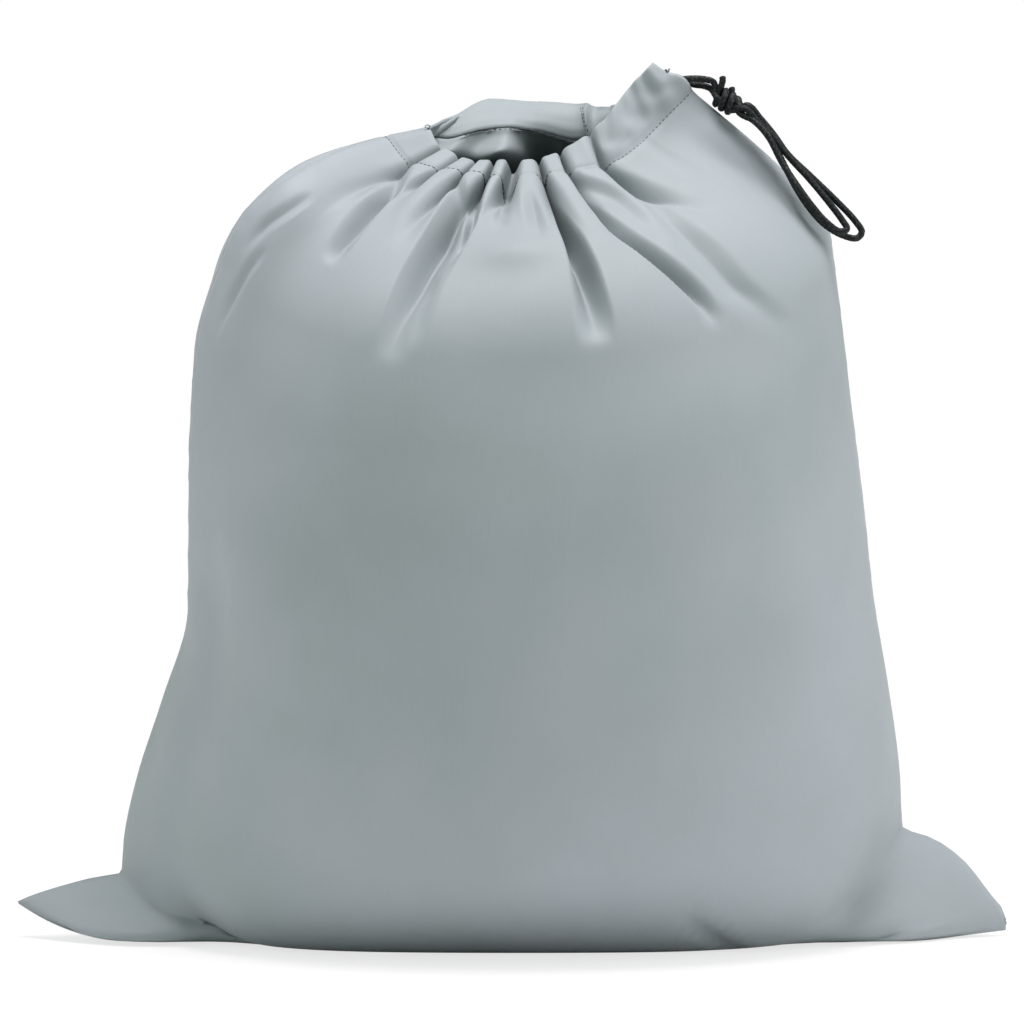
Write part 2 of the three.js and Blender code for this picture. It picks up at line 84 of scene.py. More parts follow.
def spaced(low: float, high: float, count: int, density: Callable[[Array], Array]) -> Array:
    """Places from low to high, closer together where the density is high.

    Args:
        low: first place.
        high: last place.
        count: how many.
        density: how close together, over the places.

    Returns:
        The places.
    """
    fine = np.linspace(low, high, FINE_CUTS * count)
    share = np.concatenate([[0.0], np.cumsum(density((fine[1:] + fine[:-1]) / 2))])
    return np.interp(np.linspace(0.0, share[-1], count), share, fine)


def unit(v: Array) -> Array:
    """Vectors brought to length 1 along the last axis."""
    return v / np.maximum(np.linalg.norm(v, axis=-1, keepdims=True), SHORTEST)


def hermite(q: Array, start: Array, start_slope: Array, end: Array, end_slope: Array) -> Array:
    """Cubic from one value and slope to the next, as q goes from 0 to 1.

    Args:
        q: share of the way.
        start: value at 0.
        start_slope: slope at 0, over the whole way.
        end: value at 1.
        end_slope: slope at 1, over the whole way.

    Returns:
        The cubic's values.
    """
    rest = 1.0 - q
    return (
        (1.0 + 2.0 * q) * rest**2 * start
        + q * rest**2 * start_slope
        + q**2 * (3.0 - 2.0 * q) * end
        + q**2 * (q - 1.0) * end_slope
    )


@dataclass(frozen=True)
class SmoothCurve:
    """A curve through (at, value) pairs that never overshoots: cubics whose slopes are harmonic means."""

    at: tuple[float, ...]
    value: tuple[float, ...]
    level_start: bool = False

    def __call__(self, x: Array) -> Array:
        """Values of the curve.

        Args:
            x: places, of any shape. Past the last pair the curve goes straight on.

        Returns:
            The values, in x's shape.
        """
        at, value = np.asarray(self.at, float), np.asarray(self.value, float)
        step = np.diff(at)
        slope = np.diff(value) / step
        tangent = np.empty_like(value)
        tangent[0] = 0.0 if self.level_start else slope[0]
        tangent[-1] = slope[-1]
        product = slope[:-1] * slope[1:]
        total = np.where(product > 0, slope[:-1] + slope[1:], 1.0)
        tangent[1:-1] = np.where(product > 0, 2.0 * product / total, 0.0)
        i = np.clip(np.searchsorted(at, x, side="right") - 1, 0, len(at) - 2)
        q = (x - at[i]) / step[i]
        inside = hermite(q, value[i], tangent[i] * step[i], value[i + 1], tangent[i + 1] * step[i])
        return np.where(x > at[-1], value[-1] + (x - at[-1]) * tangent[-1], inside)


def column(rows: tuple, key: str, name: str, axis: int, level: bool = False) -> SmoothCurve:
    """One number of a table's point column as a curve over its key column, which may set out level."""
    values = tuple(getattr(row, name)[axis] for row in rows)
    return SmoothCurve(tuple(getattr(row, key) for row in rows), values, level)


def through(points: Array, spacing: float) -> Array:
    """Centripetal Catmull-Rom curve through the points, at even steps of about one spacing.

    Each stretch blends the straight lines between its four nearest points pair by pair, three times over,
    with knots spaced by the square root of the distances. Past the ends the points are mirrored.

    Args:
        points: the points, one row each.
        spacing: step along the curve.

    Returns:
        Points along the curve.
    """
    ends = np.vstack([2 * points[0] - points[1], points, 2 * points[-1] - points[-2]])
    line = [ends[i : len(ends) - 3 + i, None] for i in range(4)]
    roots = [np.sqrt(np.linalg.norm(b - a, axis=-1, keepdims=True)) for a, b in zip(line, line[1:])]
    knots = [0.0, roots[0], roots[0] + roots[1], roots[0] + roots[1] + roots[2]]
    t = knots[1] + (knots[2] - knots[1]) * np.linspace(0.0, 1.0, FINE_CUTS, endpoint=False)[None, :, None]
    for first, reach in ((0, 1), (0, 2), (1, 1)):  # a round's first knot, and how far on a blend ends
        spans = [(knots[first + i], knots[first + i + reach]) for i in range(len(line) - 1)]
        line = [
            (end - t) / (end - start) * a + (t - start) / (end - start) * b
            for a, b, (start, end) in zip(line, line[1:], spans)
        ]
    dense = np.vstack([line[0].reshape(-1, 3), points[-1]])
    return even_steps(dense, spacing)


def arc_lengths(points: Array) -> Array:
    """Length along a line of points, from its first one."""
    return np.concatenate([[0.0], np.cumsum(np.linalg.norm(np.diff(points, axis=0), axis=1))])


def places_at(at: Array, run: Array, points: Array) -> Array:
    """Points of a line at some of its lengths, straight between its own."""
    return np.stack([np.interp(at, run, points[:, axis]) for axis in range(3)], axis=-1)


def even_steps(points: Array, spacing: float) -> Array:
    """A line of points cut again at even steps.

    Args:
        points: the points, one row each.
        spacing: about how long a step is.

    Returns:
        The new points.
    """
    run = arc_lengths(points)
    steps = max(2, round(run[-1] / spacing))
    return places_at(np.linspace(0.0, run[-1], steps + 1), run, points)


def grid_faces(rows: int, columns: int, wrap: bool = False, flip: bool = False) -> Array:
    """Quads of a grid of rows by columns vertices, numbered row by row.

    Args:
        rows: number of rows.
        columns: number of columns.
        wrap: whether the last column joins the first.
        flip: whether the faces are turned over.

    Returns:
        An array of four vertex numbers a face.
    """
    i = np.arange(rows - 1)[:, None]
    j = np.arange(columns if wrap else columns - 1)[None, :]
    k = (j + 1) % columns
    near, far = i * columns, (i + 1) * columns
    quads = np.stack([near + j, near + k, far + k, far + j], axis=-1).reshape(-1, 4)
    return quads[:, ::-1] if flip else quads


@dataclass
class Surface:
    """Vertices, quads and triangles of a piece, and optional cloth coordinates for each corner."""

    points: Array
    quads: Array
    triangles: Array | None = None
    cloth: Array | None = None

    def to_object(self, name: str) -> Piece:
        """Puts the surface into a new smooth mesh object at the origin.

        Args:
            name: the piece's name.

        Returns:
            The object, in the scene.
        """
        triangles = np.empty((0, 3), int) if self.triangles is None else self.triangles
        corners = np.concatenate([self.quads.ravel(), triangles.ravel()])
        sizes = np.repeat([4, 3], [len(self.quads), len(triangles)])
        mesh = bpy.data.meshes.new(name)
        mesh.vertices.add(self.points.size // 3)
        mesh.vertices.foreach_set("co", self.points.astype(np.float32).ravel())
        mesh.loops.add(len(corners))
        mesh.loops.foreach_set("vertex_index", corners.astype(np.int32))
        mesh.polygons.add(len(sizes))
        mesh.polygons.foreach_set("loop_start", (np.cumsum(sizes) - sizes).astype(np.int32))
        mesh.update(calc_edges=True)
        mesh.polygons.foreach_set("use_smooth", np.ones(len(sizes), bool))
        if self.cloth is not None:
            layer = mesh.uv_layers.new(name="cloth")
            layer.data.foreach_set("uv", self.cloth.astype(np.float32).ravel())
        mesh.validate()
        piece = bpy.data.objects.new(name, mesh)
        bpy.context.scene.collection.objects.link(piece)
        return piece


def tubes(paths: Array, reference: Array, radius: Array, around: int) -> Surface:
    """Closed tubes, each a ring of points carried along a path.

    A ring's point is the path's point, plus the radius times the cosine of its turn along a first direction
    and the sine along a second. Both are square to the path, the first as near the reference as can be.
    Each end closes in a point.

    Args:
        paths: points, as (tubes, stations, 3).
        reference: a direction that no path follows, or one for each station.
        radius: radius at each station or point of a ring, that broadcasts to (tubes, stations, around).
        around: points in a ring.

    Returns:
        The tubes, their cloth coordinates being metres around and along.
    """
    count, stations = paths.shape[:2]
    tangent = unit(np.gradient(paths, axis=1))
    first = unit(reference - tangent * np.sum(reference * tangent, axis=-1, keepdims=True))
    second = np.cross(tangent, first)
    turn = np.linspace(0.0, 2 * math.pi, around, endpoint=False)[:, None]
    ring = np.cos(turn) * first[:, :, None] + np.sin(turn) * second[:, :, None]
    radius = np.broadcast_to(radius, (count, stations, around))
    body = (paths[:, :, None] + ring * radius[..., None]).reshape(count, -1, 3)
    points = np.concatenate([body, paths[:, :1], paths[:, -1:]], axis=1)
    starts = (np.arange(count) * points.shape[1])[:, None, None]
    quads = (starts + grid_faces(stations, around, wrap=True)).reshape(-1, 4)
    j = np.arange(around)
    k = (j + 1) % around
    pole, last = stations * around, (stations - 1) * around
    near = np.stack([np.full(around, pole), k, j], axis=1)
    far = np.stack([np.full(around, pole + 1), last + j, last + k], axis=1)
    triangles = (starts + np.vstack([near, far])).reshape(-1, 3)
    along = np.concatenate(
        [np.zeros((count, 1)), np.cumsum(np.linalg.norm(np.diff(paths, axis=1), axis=-1), axis=1)], axis=1
    )
    step = 2 * math.pi * radius.mean() / around
    u = (j[:, None] + np.array([0, 1, 1, 0])) * step
    v = along[:, np.arange(stations - 1)[:, None] + np.array([0, 0, 1, 1])]
    side = np.broadcast_to(u, (count, stations - 1, around, 4))
    lengthwise = np.broadcast_to(v[:, :, None], side.shape)
    cap = np.zeros((triangles.size, 2))
    cloth = np.vstack([np.stack([side, lengthwise], axis=-1).reshape(-1, 2), cap])
    return Surface(points.reshape(-1, 3), quads, triangles, cloth)


def joined(surfaces: list[Surface]) -> Surface:
    """Joins tubes: their points one after another, their quads, then their triangles.

    Args:
        surfaces: the tubes' surfaces.

    Returns:
        All of them as one surface.
    """
    starts = np.cumsum([0] + [len(surface.points) for surface in surfaces[:-1]])
    quads = np.vstack([surface.quads + start for surface, start in zip(surfaces, starts)])
    triangles = np.vstack([surface.triangles + start for surface, start in zip(surfaces, starts)])
    cloth = [surface.cloth[: surface.quads.size] for surface in surfaces]
    cloth += [surface.cloth[surface.quads.size :] for surface in surfaces]
    points = np.vstack([surface.points for surface in surfaces])
    return Surface(points, quads, triangles, np.vstack(cloth))


def dress(piece: Piece, finish: Material, nodes: tuple[str, ...] = ()) -> None:
    """Gives a piece its finish and declares what it rides and replaces.

    Args:
        piece: the piece.
        finish: its material.
        nodes: the model's nodes that it stands for.
    """
    piece.data.materials.append(finish)
    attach(piece, BODY)
    if nodes:
        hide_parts(*nodes)


# --- Shader bench and finishes ---


class Value:
    """A number socket with arithmetic: an expression on values adds its Math nodes."""

    def __init__(self, bench: "Bench", socket: Socket) -> None:
        """Wraps a socket of a bench."""
        self.bench = bench
        self.socket = socket

    def __add__(self, other: "Value | float") -> "Value":
        """Sum."""
        return self.bench.math("ADD", self, other)

    def __mul__(self, other: "Value | float") -> "Value":
        """Product."""
        return self.bench.math("MULTIPLY", self, other)

    __radd__ = __add__
    __rmul__ = __mul__


@dataclass(frozen=True)
class Grain:
    """A noise: its bumps a unit, its finer layers and how strong they are."""

    scale: float
    detail: float = 2.0
    rough: float = 0.5


class Bench:
    """Builds the nodes of one material or world."""

    def __init__(self, owner: Material | bpy.types.World) -> None:
        """Empties the owner's node tree.

        Args:
            owner: the material or world.
        """
        owner.use_nodes = True
        self.owner = owner
        self.tree = owner.node_tree
        self.tree.nodes.clear()

    @classmethod
    def material(cls, name: str) -> "Bench":
        """A bench on a new material."""
        return cls(bpy.data.materials.new(name))

    def node(self, kind: str, settings: dict | None = None, inputs: dict | None = None) -> bpy.types.Node:
        """Adds any node.

        Args:
            kind: the node's type, without ShaderNode.
            settings: its properties, set first; a ramp's stops are given as "stops".
            inputs: values or links of its sockets, by name or number.

        Returns:
            The node.
        """
        made = self.tree.nodes.new("ShaderNode" + kind)
        for key, value in (settings or {}).items():
            if key == "stops":
                for element, (place, shade) in zip(made.color_ramp.elements, value):
                    element.position = place
                    element.color = (shade, shade, shade, 1.0)
            else:
                setattr(made, key, value)
        for key, value in (inputs or {}).items():
            self.put(made.inputs[key], value)
        return made

    def put(self, socket: Socket, value: object) -> None:
        """Feeds an input.

        Args:
            socket: the input.
            value: a value or socket to link to it, or what to set it to.
        """
        if isinstance(value, Value):
            self.tree.links.new(value.socket, socket)
        elif isinstance(value, Socket):
            self.tree.links.new(value, socket)
        else:
            socket.default_value = value

    def math(self, operation: str, *terms: "Value | float") -> Value:
        """One Math node on values or numbers."""
        made = self.node("Math", {"operation": operation}, dict(enumerate(terms)))
        return Value(self, made.outputs[0])

    def noise(self, place: Socket, grain: Grain) -> Value:
        """Noise from 0 to 1 over a place's coordinates."""
        inputs = {"Vector": place, "Scale": grain.scale, "Detail": grain.detail, "Roughness": grain.rough}
        return Value(self, self.node("TexNoise", None, inputs).outputs["Fac"])

    def ramp(self, value: Value, places: Pair, results: Pair = (0.0, 1.0)) -> Value:
        """A value put through a straight ramp.

        Args:
            value: the value.
            places: where the ramp starts and ends.
            results: what it gives there.

        Returns:
            The result.
        """
        made = self.node("ValToRGB", {"stops": zip(places, results)}, {"Fac": value})
        split = self.node("SeparateColor", None, {"Color": made.outputs["Color"]})
        return Value(self, split.outputs[0])

    def mixed(self, share: Value, a: object, b: object) -> Socket:
        """Colour a where share is 0, b where it is 1."""
        made = self.node("Mix", {"data_type": "RGBA"}, {0: share, 6: a, 7: b})
        return made.outputs[2]

    def place(self, name: str, scale: Triple = (1.0, 1.0, 1.0)) -> Socket:
        """The "Object" coordinates or the piece's own "UV" map, scaled along each axis."""
        source = self.node("TexCoord").outputs[name]
        return self.node("Mapping", None, {"Vector": source, "Scale": scale}).outputs[0]

    def bump(self, height: Value, distance: float, strength: float, under: Socket | None = None) -> Socket:
        """A Bump node.

        Args:
            height: the relief, from 0 to 1.
            distance: its depth in metres.
            strength: its share of the effect.
            under: a normal that it is laid on.

        Returns:
            The normal.
        """
        inputs = {"Height": height, "Distance": distance, "Strength": strength}
        if under is not None:
            inputs["Normal"] = under
        return self.node("Bump", None, inputs).outputs[0]

    def finish(self, **inputs: object) -> Material:
        """Adds the surface shader with these sockets, and the output.

        Args:
            **inputs: the shader's sockets, with _ for a space.

        Returns:
            The material.
        """
        named = {key.replace("_", " "): value for key, value in inputs.items()}
        shader = self.node("BsdfPrincipled", None, named)
        self.node("OutputMaterial", None, {"Surface": shader.outputs[0]})
        return self.owner


@dataclass(frozen=True)
class ClothFinish:
    """Proofed polyester with a dull sheen: a fine plain weave with soft changes of shade.

    Roundness is how round the threads are, against how far they go over and under. Relief is the weave's
    height as a share of a thread's width. Roughness is its least, and what rubbing and mottling add.
    """

    shade: Colour = (0.245, 0.288, 0.288, 1.0)
    deep: Colour = (0.206, 0.252, 0.246, 1.0)
    light: Colour = (0.288, 0.322, 0.340, 1.0)
    slub: Colour = (0.42, 0.46, 0.47, 1.0)
    clouds: Grain = Grain(5.5, 3.0, 0.55)
    cloud_range: Pair = (0.32, 0.7)
    mottling: Grain = Grain(60.0, 4.0, 0.6)
    mottling_share: float = 0.5
    rubbing: Grain = Grain(18.0, 5.0, 0.6)
    rubbing_range: Pair = (0.45, 0.75)
    crinkling: Grain = Grain(42.0, 5.0, 0.62)
    slubs: Grain = Grain(1.0)
    slub_scale: Triple = (900.0, 60.0, 1.0)
    slub_share: float = 0.08
    thread: float = 0.00042
    roundness: float = 0.7
    relief: float = 0.16
    crinkle_depth: float = 0.0011
    crinkle_strength: float = 0.22
    weave_strength: float = 0.35
    roughness: float = 0.55
    rubbed_rougher: float = 0.06
    mottled_rougher: float = 0.08
    specular: float = 0.42
    sheen: float = 0.10
    sheen_roughness: float = 0.4

    def build(self, name: str) -> Material:
        """Builds the finish.

        The weave is two crossed families of rounded threads over the cloth's own coordinates. Warp lies on
        top where the sum of both counts is even, weft elsewhere.

        Args:
            name: the material's name.

        Returns:
            The material.
        """
        bench = Bench.material(name)
        cloth = bench.node("SeparateXYZ", None, {0: bench.place("UV")})
        warp = Value(bench, cloth.outputs[0]) * (math.pi / self.thread)
        weft = Value(bench, cloth.outputs[1]) * (math.pi / self.thread)
        over = bench.math("SINE", warp) * bench.math("SINE", weft)
        weave = bench.math("ABSOLUTE", over) * self.roundness + over * (1.0 - self.roundness)
        place = bench.place("Object")
        cloudy = bench.ramp(bench.noise(place, self.clouds), self.cloud_range)
        mottled = bench.noise(place, self.mottling)
        rubbed = bench.ramp(bench.noise(place, self.rubbing), self.rubbing_range)
        base = bench.mixed(cloudy, self.deep, self.light)
        base = bench.mixed(mottled * self.mottling_share, base, self.shade)
        slubs = bench.noise(bench.place("UV", self.slub_scale), self.slubs)
        normal = bench.bump(bench.noise(place, self.crinkling), self.crinkle_depth, self.crinkle_strength)
        return bench.finish(
            Base_Color=bench.mixed(slubs * self.slub_share, base, self.slub),
            Roughness=rubbed * self.rubbed_rougher + (mottled * self.mottled_rougher + self.roughness),
            Specular_IOR_Level=self.specular,
            Sheen_Weight=self.sheen,
            Sheen_Roughness=self.sheen_roughness,
            Normal=bench.bump(weave, self.thread * self.relief, self.weave_strength, normal),
        )


@dataclass(frozen=True)
class CordFinish:
    """Nearly black polyester braid with a few lighter flecks painted into its colour as glints, where
    filaments catch the light.

    Roughness is its least and what the filaments add.
    """

    shade: Colour = (0.0020, 0.0042, 0.0038, 1.0)
    # colour of the painted glints: lighter flecks that stand in for light caught by the filaments
    painted_glint: Colour = (0.036, 0.052, 0.047, 1.0)
    filament_scale: Triple = (2200.0, 900.0, 1.0)
    filaments: Grain = Grain(1.0, 3.0, 0.6)
    glint_flecks: Grain = Grain(900.0, 2.0, 0.6)
    glint_range: Pair = (0.52, 0.72)
    roughness: Pair = (0.45, 0.2)
    relief: float = 0.00008
    relief_strength: float = 0.6
    specular: float = 0.22
    sheen: float = 0.02
    sheen_roughness: float = 0.5

    def build(self, name: str) -> Material:
        """Builds the finish.

        Filaments are streaks over the cord's own coordinates; the painted glints are a noise cut off high and
        mixed into the base colour.

        Args:
            name: the material's name.

        Returns:
            The material.
        """
        bench = Bench.material(name)
        fine = bench.noise(bench.place("UV", self.filament_scale), self.filaments)
        # painted glints: where the noise is high the base colour turns lighter, standing in for light on the
        # filaments
        glint_flecks = bench.ramp(bench.noise(bench.place("Object"), self.glint_flecks), self.glint_range)
        return bench.finish(
            Base_Color=bench.mixed(glint_flecks, self.shade, self.painted_glint),
            Roughness=fine * self.roughness[1] + self.roughness[0],
            Specular_IOR_Level=self.specular,
            Sheen_Weight=self.sheen,
            Sheen_Roughness=self.sheen_roughness,
            Normal=bench.bump(fine, self.relief, self.relief_strength),
        )


@dataclass(frozen=True)
class ThreadFinish:
    """Spun sewing thread, a shade darker than the cloth. Roughness is its least and what the twist adds."""

    shade: Colour = (0.040, 0.048, 0.055, 1.0)
    light: Colour = (0.080, 0.092, 0.100, 1.0)
    twist: Grain = Grain(1500.0)
    roughness: Pair = (0.5, 0.2)
    relief: float = 0.00005
    relief_strength: float = 0.5

    def build(self, name: str) -> Material:
        """Builds the finish.

        Args:
            name: the material's name.

        Returns:
            The material.
        """
        bench = Bench.material(name)
        twist = bench.noise(bench.place("Object"), self.twist)
        return bench.finish(
            Base_Color=bench.mixed(twist, self.shade, self.light),
            Roughness=twist * self.roughness[1] + self.roughness[0],
            Normal=bench.bump(twist, self.relief, self.relief_strength),
        )


# --- The sheet's shape ---

SEAM_GAP = 0.0001
SKIN = 0.0015  # from the middle of the model's sheet to its outer face
SHOULDER_RUN = 0.390
STITCH_RUN = 0.498
EDGE_RUN = 0.520
HALF_WIDTH = 0.250  # of the flat cloth
MOUTH_CENTRE = np.array([0.008, 0.0])
NECK_PULL = 0.118
RIGHT_PULL = 0.062
SIDE_STEP, RUN_STEP = 0.01, 0.0005  # over which the smooth sheet's slopes are taken
LINE_SIDE, LINE_RUN = 0.001, 0.0004  # and the finished cloth's, to both sides


class Side(Enum):
    """Which panel, and which way it faces along Y."""

    FRONT = -1
    BACK = 1


@dataclass(frozen=True)
class Level:
    """A level of the body: side seams [x, z] in the plane y = 0, and the middles of the panels [y, z]."""

    run: float
    left: Pair
    right: Pair
    front: Pair
    back: Pair


LEVELS = (
    Level(0.0, (-0.248, 0.0175), (0.248, 0.003), (0.0, 0.0015), (0.0, 0.0015)),
    Level(0.008, (-0.242, 0.02), (0.2476, 0.01), (-0.008, 0.0015), (0.008, 0.0015)),
    Level(0.024, (-0.229, 0.024), (0.239, 0.022), (-0.024, 0.0015), (0.026, 0.0015)),
    Level(0.044, (-0.211, 0.0285), (0.226, 0.038), (-0.044, 0.0015), (0.046, 0.0015)),
    Level(0.06, (-0.1955, 0.0315), (0.212, 0.048), (-0.058, 0.0018), (0.062, 0.0015)),
    Level(0.08, (-0.1935, 0.051), (0.195, 0.055), (-0.076, 0.008), (0.08, 0.006)),
    Level(0.11, (-0.187, 0.08), (0.193, 0.084), (-0.1, 0.025), (0.102, 0.024)),
    Level(0.15, (-0.1745, 0.118), (0.1875, 0.124), (-0.1215, 0.058), (0.1225, 0.058)),
    Level(0.2, (-0.161, 0.164), (0.1795, 0.172), (-0.133, 0.107), (0.133, 0.107)),
    Level(0.25, (-0.16, 0.209), (0.1745, 0.218), (-0.136, 0.157), (0.135, 0.157)),
    Level(0.3, (-0.1595, 0.257), (0.1685, 0.264), (-0.135, 0.207), (0.1325, 0.207)),
    Level(0.345, (-0.158, 0.303), (0.163, 0.309), (-0.1305, 0.2515), (0.1265, 0.2515)),
    Level(0.39, (-0.148, 0.346), (0.1575, 0.3505), (-0.12, 0.295), (0.114, 0.295)),
)

# How a panel goes from its middle to its seams, over run. LIE is 0 where the section is round and 1 where the
# sheet lies flat and runs out into the corners. CLIMB says how late the sheet rises to its seams.
CROSSING_RUNS = (0.0, 0.024, 0.044, 0.060, 0.080, 0.110, 0.150, 0.200, 0.250, 0.390)
LIE = SmoothCurve(CROSSING_RUNS, (1.0, 1.0, 1.0, 0.7, 0.45, 0.2, 0.0, 0.0, 0.0, 0.0))
CLIMB = SmoothCurve(CROSSING_RUNS, (9.0, 8.0, 6.0, 5.0, 4.0, 3.0, 2.4, 2.2, 2.0, 2.0))


@dataclass(frozen=True)
class Station:
    """A place around the mouth: points of the stitch line and of the edge, and the neck's rise in degrees."""

    side: float
    stitch: Triple
    edge: Triple
    rise: float


LEFT_STATION = Station(-1.0, (-0.063, 0.0, 0.4), (-0.0405, 0.0, 0.404), 14)
RIGHT_STATION = Station(1.0, (0.089, 0.0, 0.423), (0.0695, 0.0, 0.437), 42)
FRONT_STATIONS = (
    LEFT_STATION,
    Station(-0.8, (-0.054, -0.015, 0.39), (-0.037, -0.009, 0.397), 18),
    Station(-0.55, (-0.038, -0.028, 0.382), (-0.028, -0.017, 0.3905), 24),
    Station(-0.3, (-0.02, -0.036, 0.38), (-0.015, -0.025, 0.387), 28),
    Station(-0.05, (0.0, -0.038, 0.377), (0.002, -0.028, 0.3865), 28),
    Station(0.2, (0.018, -0.036, 0.38), (0.015, -0.026, 0.389), 28),
    Station(0.42, (0.034, -0.032, 0.381), (0.03, -0.022, 0.3945), 28),
    Station(0.62, (0.052, -0.025, 0.388), (0.044, -0.017, 0.407), 32),
    Station(0.82, (0.071, -0.014, 0.405), (0.058, -0.008, 0.425), 36),
    RIGHT_STATION,
)
BACK_STATIONS = (
    LEFT_STATION,
    Station(-0.8, (-0.054, 0.012, 0.3985), (-0.0375, 0.014, 0.4065), 20),
    Station(-0.5, (-0.036, 0.022, 0.3985), (-0.0255, 0.032, 0.4135), 30),
    Station(-0.2, (-0.013, 0.026, 0.401), (-0.0085, 0.041, 0.4205), 32),
    Station(0.1, (0.011, 0.028, 0.401), (0.0125, 0.042, 0.4185), 32),
    Station(0.4, (0.034, 0.027, 0.3975), (0.0345, 0.038, 0.4175), 32),
    Station(0.65, (0.054, 0.022, 0.4), (0.05, 0.027, 0.4165), 34),
    Station(0.83, (0.072, 0.015, 0.411), (0.06, 0.012, 0.424), 38),
    RIGHT_STATION,
)


# How many degrees the left seam is turned towards the front, over run.
TURNING = SmoothCurve(
    (0.240, 0.300, 0.345, 0.390, 0.430, 0.465, 0.498), (0.0, 8.0, 15.0, 20.0, 23.0, 17.0, 0.0)
)
TURN_SPREAD = 0.35


@dataclass(frozen=True)
class Gather:
    """A valley of the drawn-up casing, and the crest that follows it.

    Each stands out of the mouth's line by its own distance. reach is how far below the stitch line the
    valley runs, lean how far the crests bulge over it, and narrow the power that makes it narrow.
    """

    side: float
    valley: float
    crest: float
    reach: float = 0.060
    lean: float = 0.85
    narrow: float = 5.0


FRONT_GATHERS = (
    Gather(-1.0, 0.0, 0.0015),
    Gather(-0.72, -0.005, 0.0036),
    Gather(-0.5, -0.0056, 0.0034, 0.034),
    Gather(-0.34, -0.0066, 0.0036),
    Gather(-0.21, -0.0096, 0.0034),
    Gather(-0.08, -0.013, 0.004, 0.024, 0.0, 1.6),
    Gather(0.175, -0.01, 0.0034),
    Gather(0.33, -0.0076, 0.0036),
    Gather(0.54, -0.006, 0.0015),
    Gather(0.78, 0.0, 0.0),
    Gather(1.0, 0.0, 0.0),
)
BACK_GATHERS = (
    Gather(-1.0, 0.0, 0.0003),
    Gather(-0.55, -0.0012, 0.0006),
    Gather(-0.1, -0.0004, 0.0004),
    Gather(0.46, -0.006, 0.002),
    Gather(0.68, -0.004, 0.001),
    Gather(0.85, 0.0, 0.0),
    Gather(1.0, 0.0, 0.0),
)


@dataclass(frozen=True)
class Fold:
    """A trough down the shoulder, through stops of (run, side, depth, left half width, right half width).

    Half widths are shares of side. crease is 0 for a round bottom and 1 for a sharp one. lips are the rims
    to the left and right: 0 for a soft one and 1 for a crisp one.
    """

    stops: tuple[tuple[float, float, float, float, float], ...]
    crease: float = 0.2
    lips: Pair = (0.0, 0.0)

    def depth(self, side: Array, run: Array) -> Array:
        """How far the trough draws the sheet in.

        With u the share of the way from the bottom to a rim, the depth falls as (1 - u)^2 (1 + 2u) where
        both ends are round, (1 - u)^2 with a sharp bottom, 1 - u^2 with a crisp rim and 1 - u with both.

        Args:
            side: places across.
            run: places up the cloth.

        Returns:
            The distance in, for each place.
        """
        stops = sorted(self.stops)
        keys = tuple(stop[0] for stop in stops)
        centre, deep, left, right = (SmoothCurve(keys, tuple(stop[i] for stop in stops)) for i in range(1, 5))
        at = np.clip(run, keys[0], keys[-1])
        offset = side - centre(at)
        half = np.where(offset < 0, left(at), right(at))
        lip = np.where(offset < 0, *self.lips)
        u = np.clip(np.abs(offset) / half, 0.0, 1.0)
        soft = mix((1.0 - u) ** 2 * (1.0 + 2.0 * u), (1.0 - u) ** 2, self.crease)
        crisp = mix(1.0 - u**2, 1.0 - u, self.crease)
        within = (run >= keys[0]) & (run <= keys[-1])
        return np.where(within, deep(at) * mix(soft, crisp, lip), 0.0)


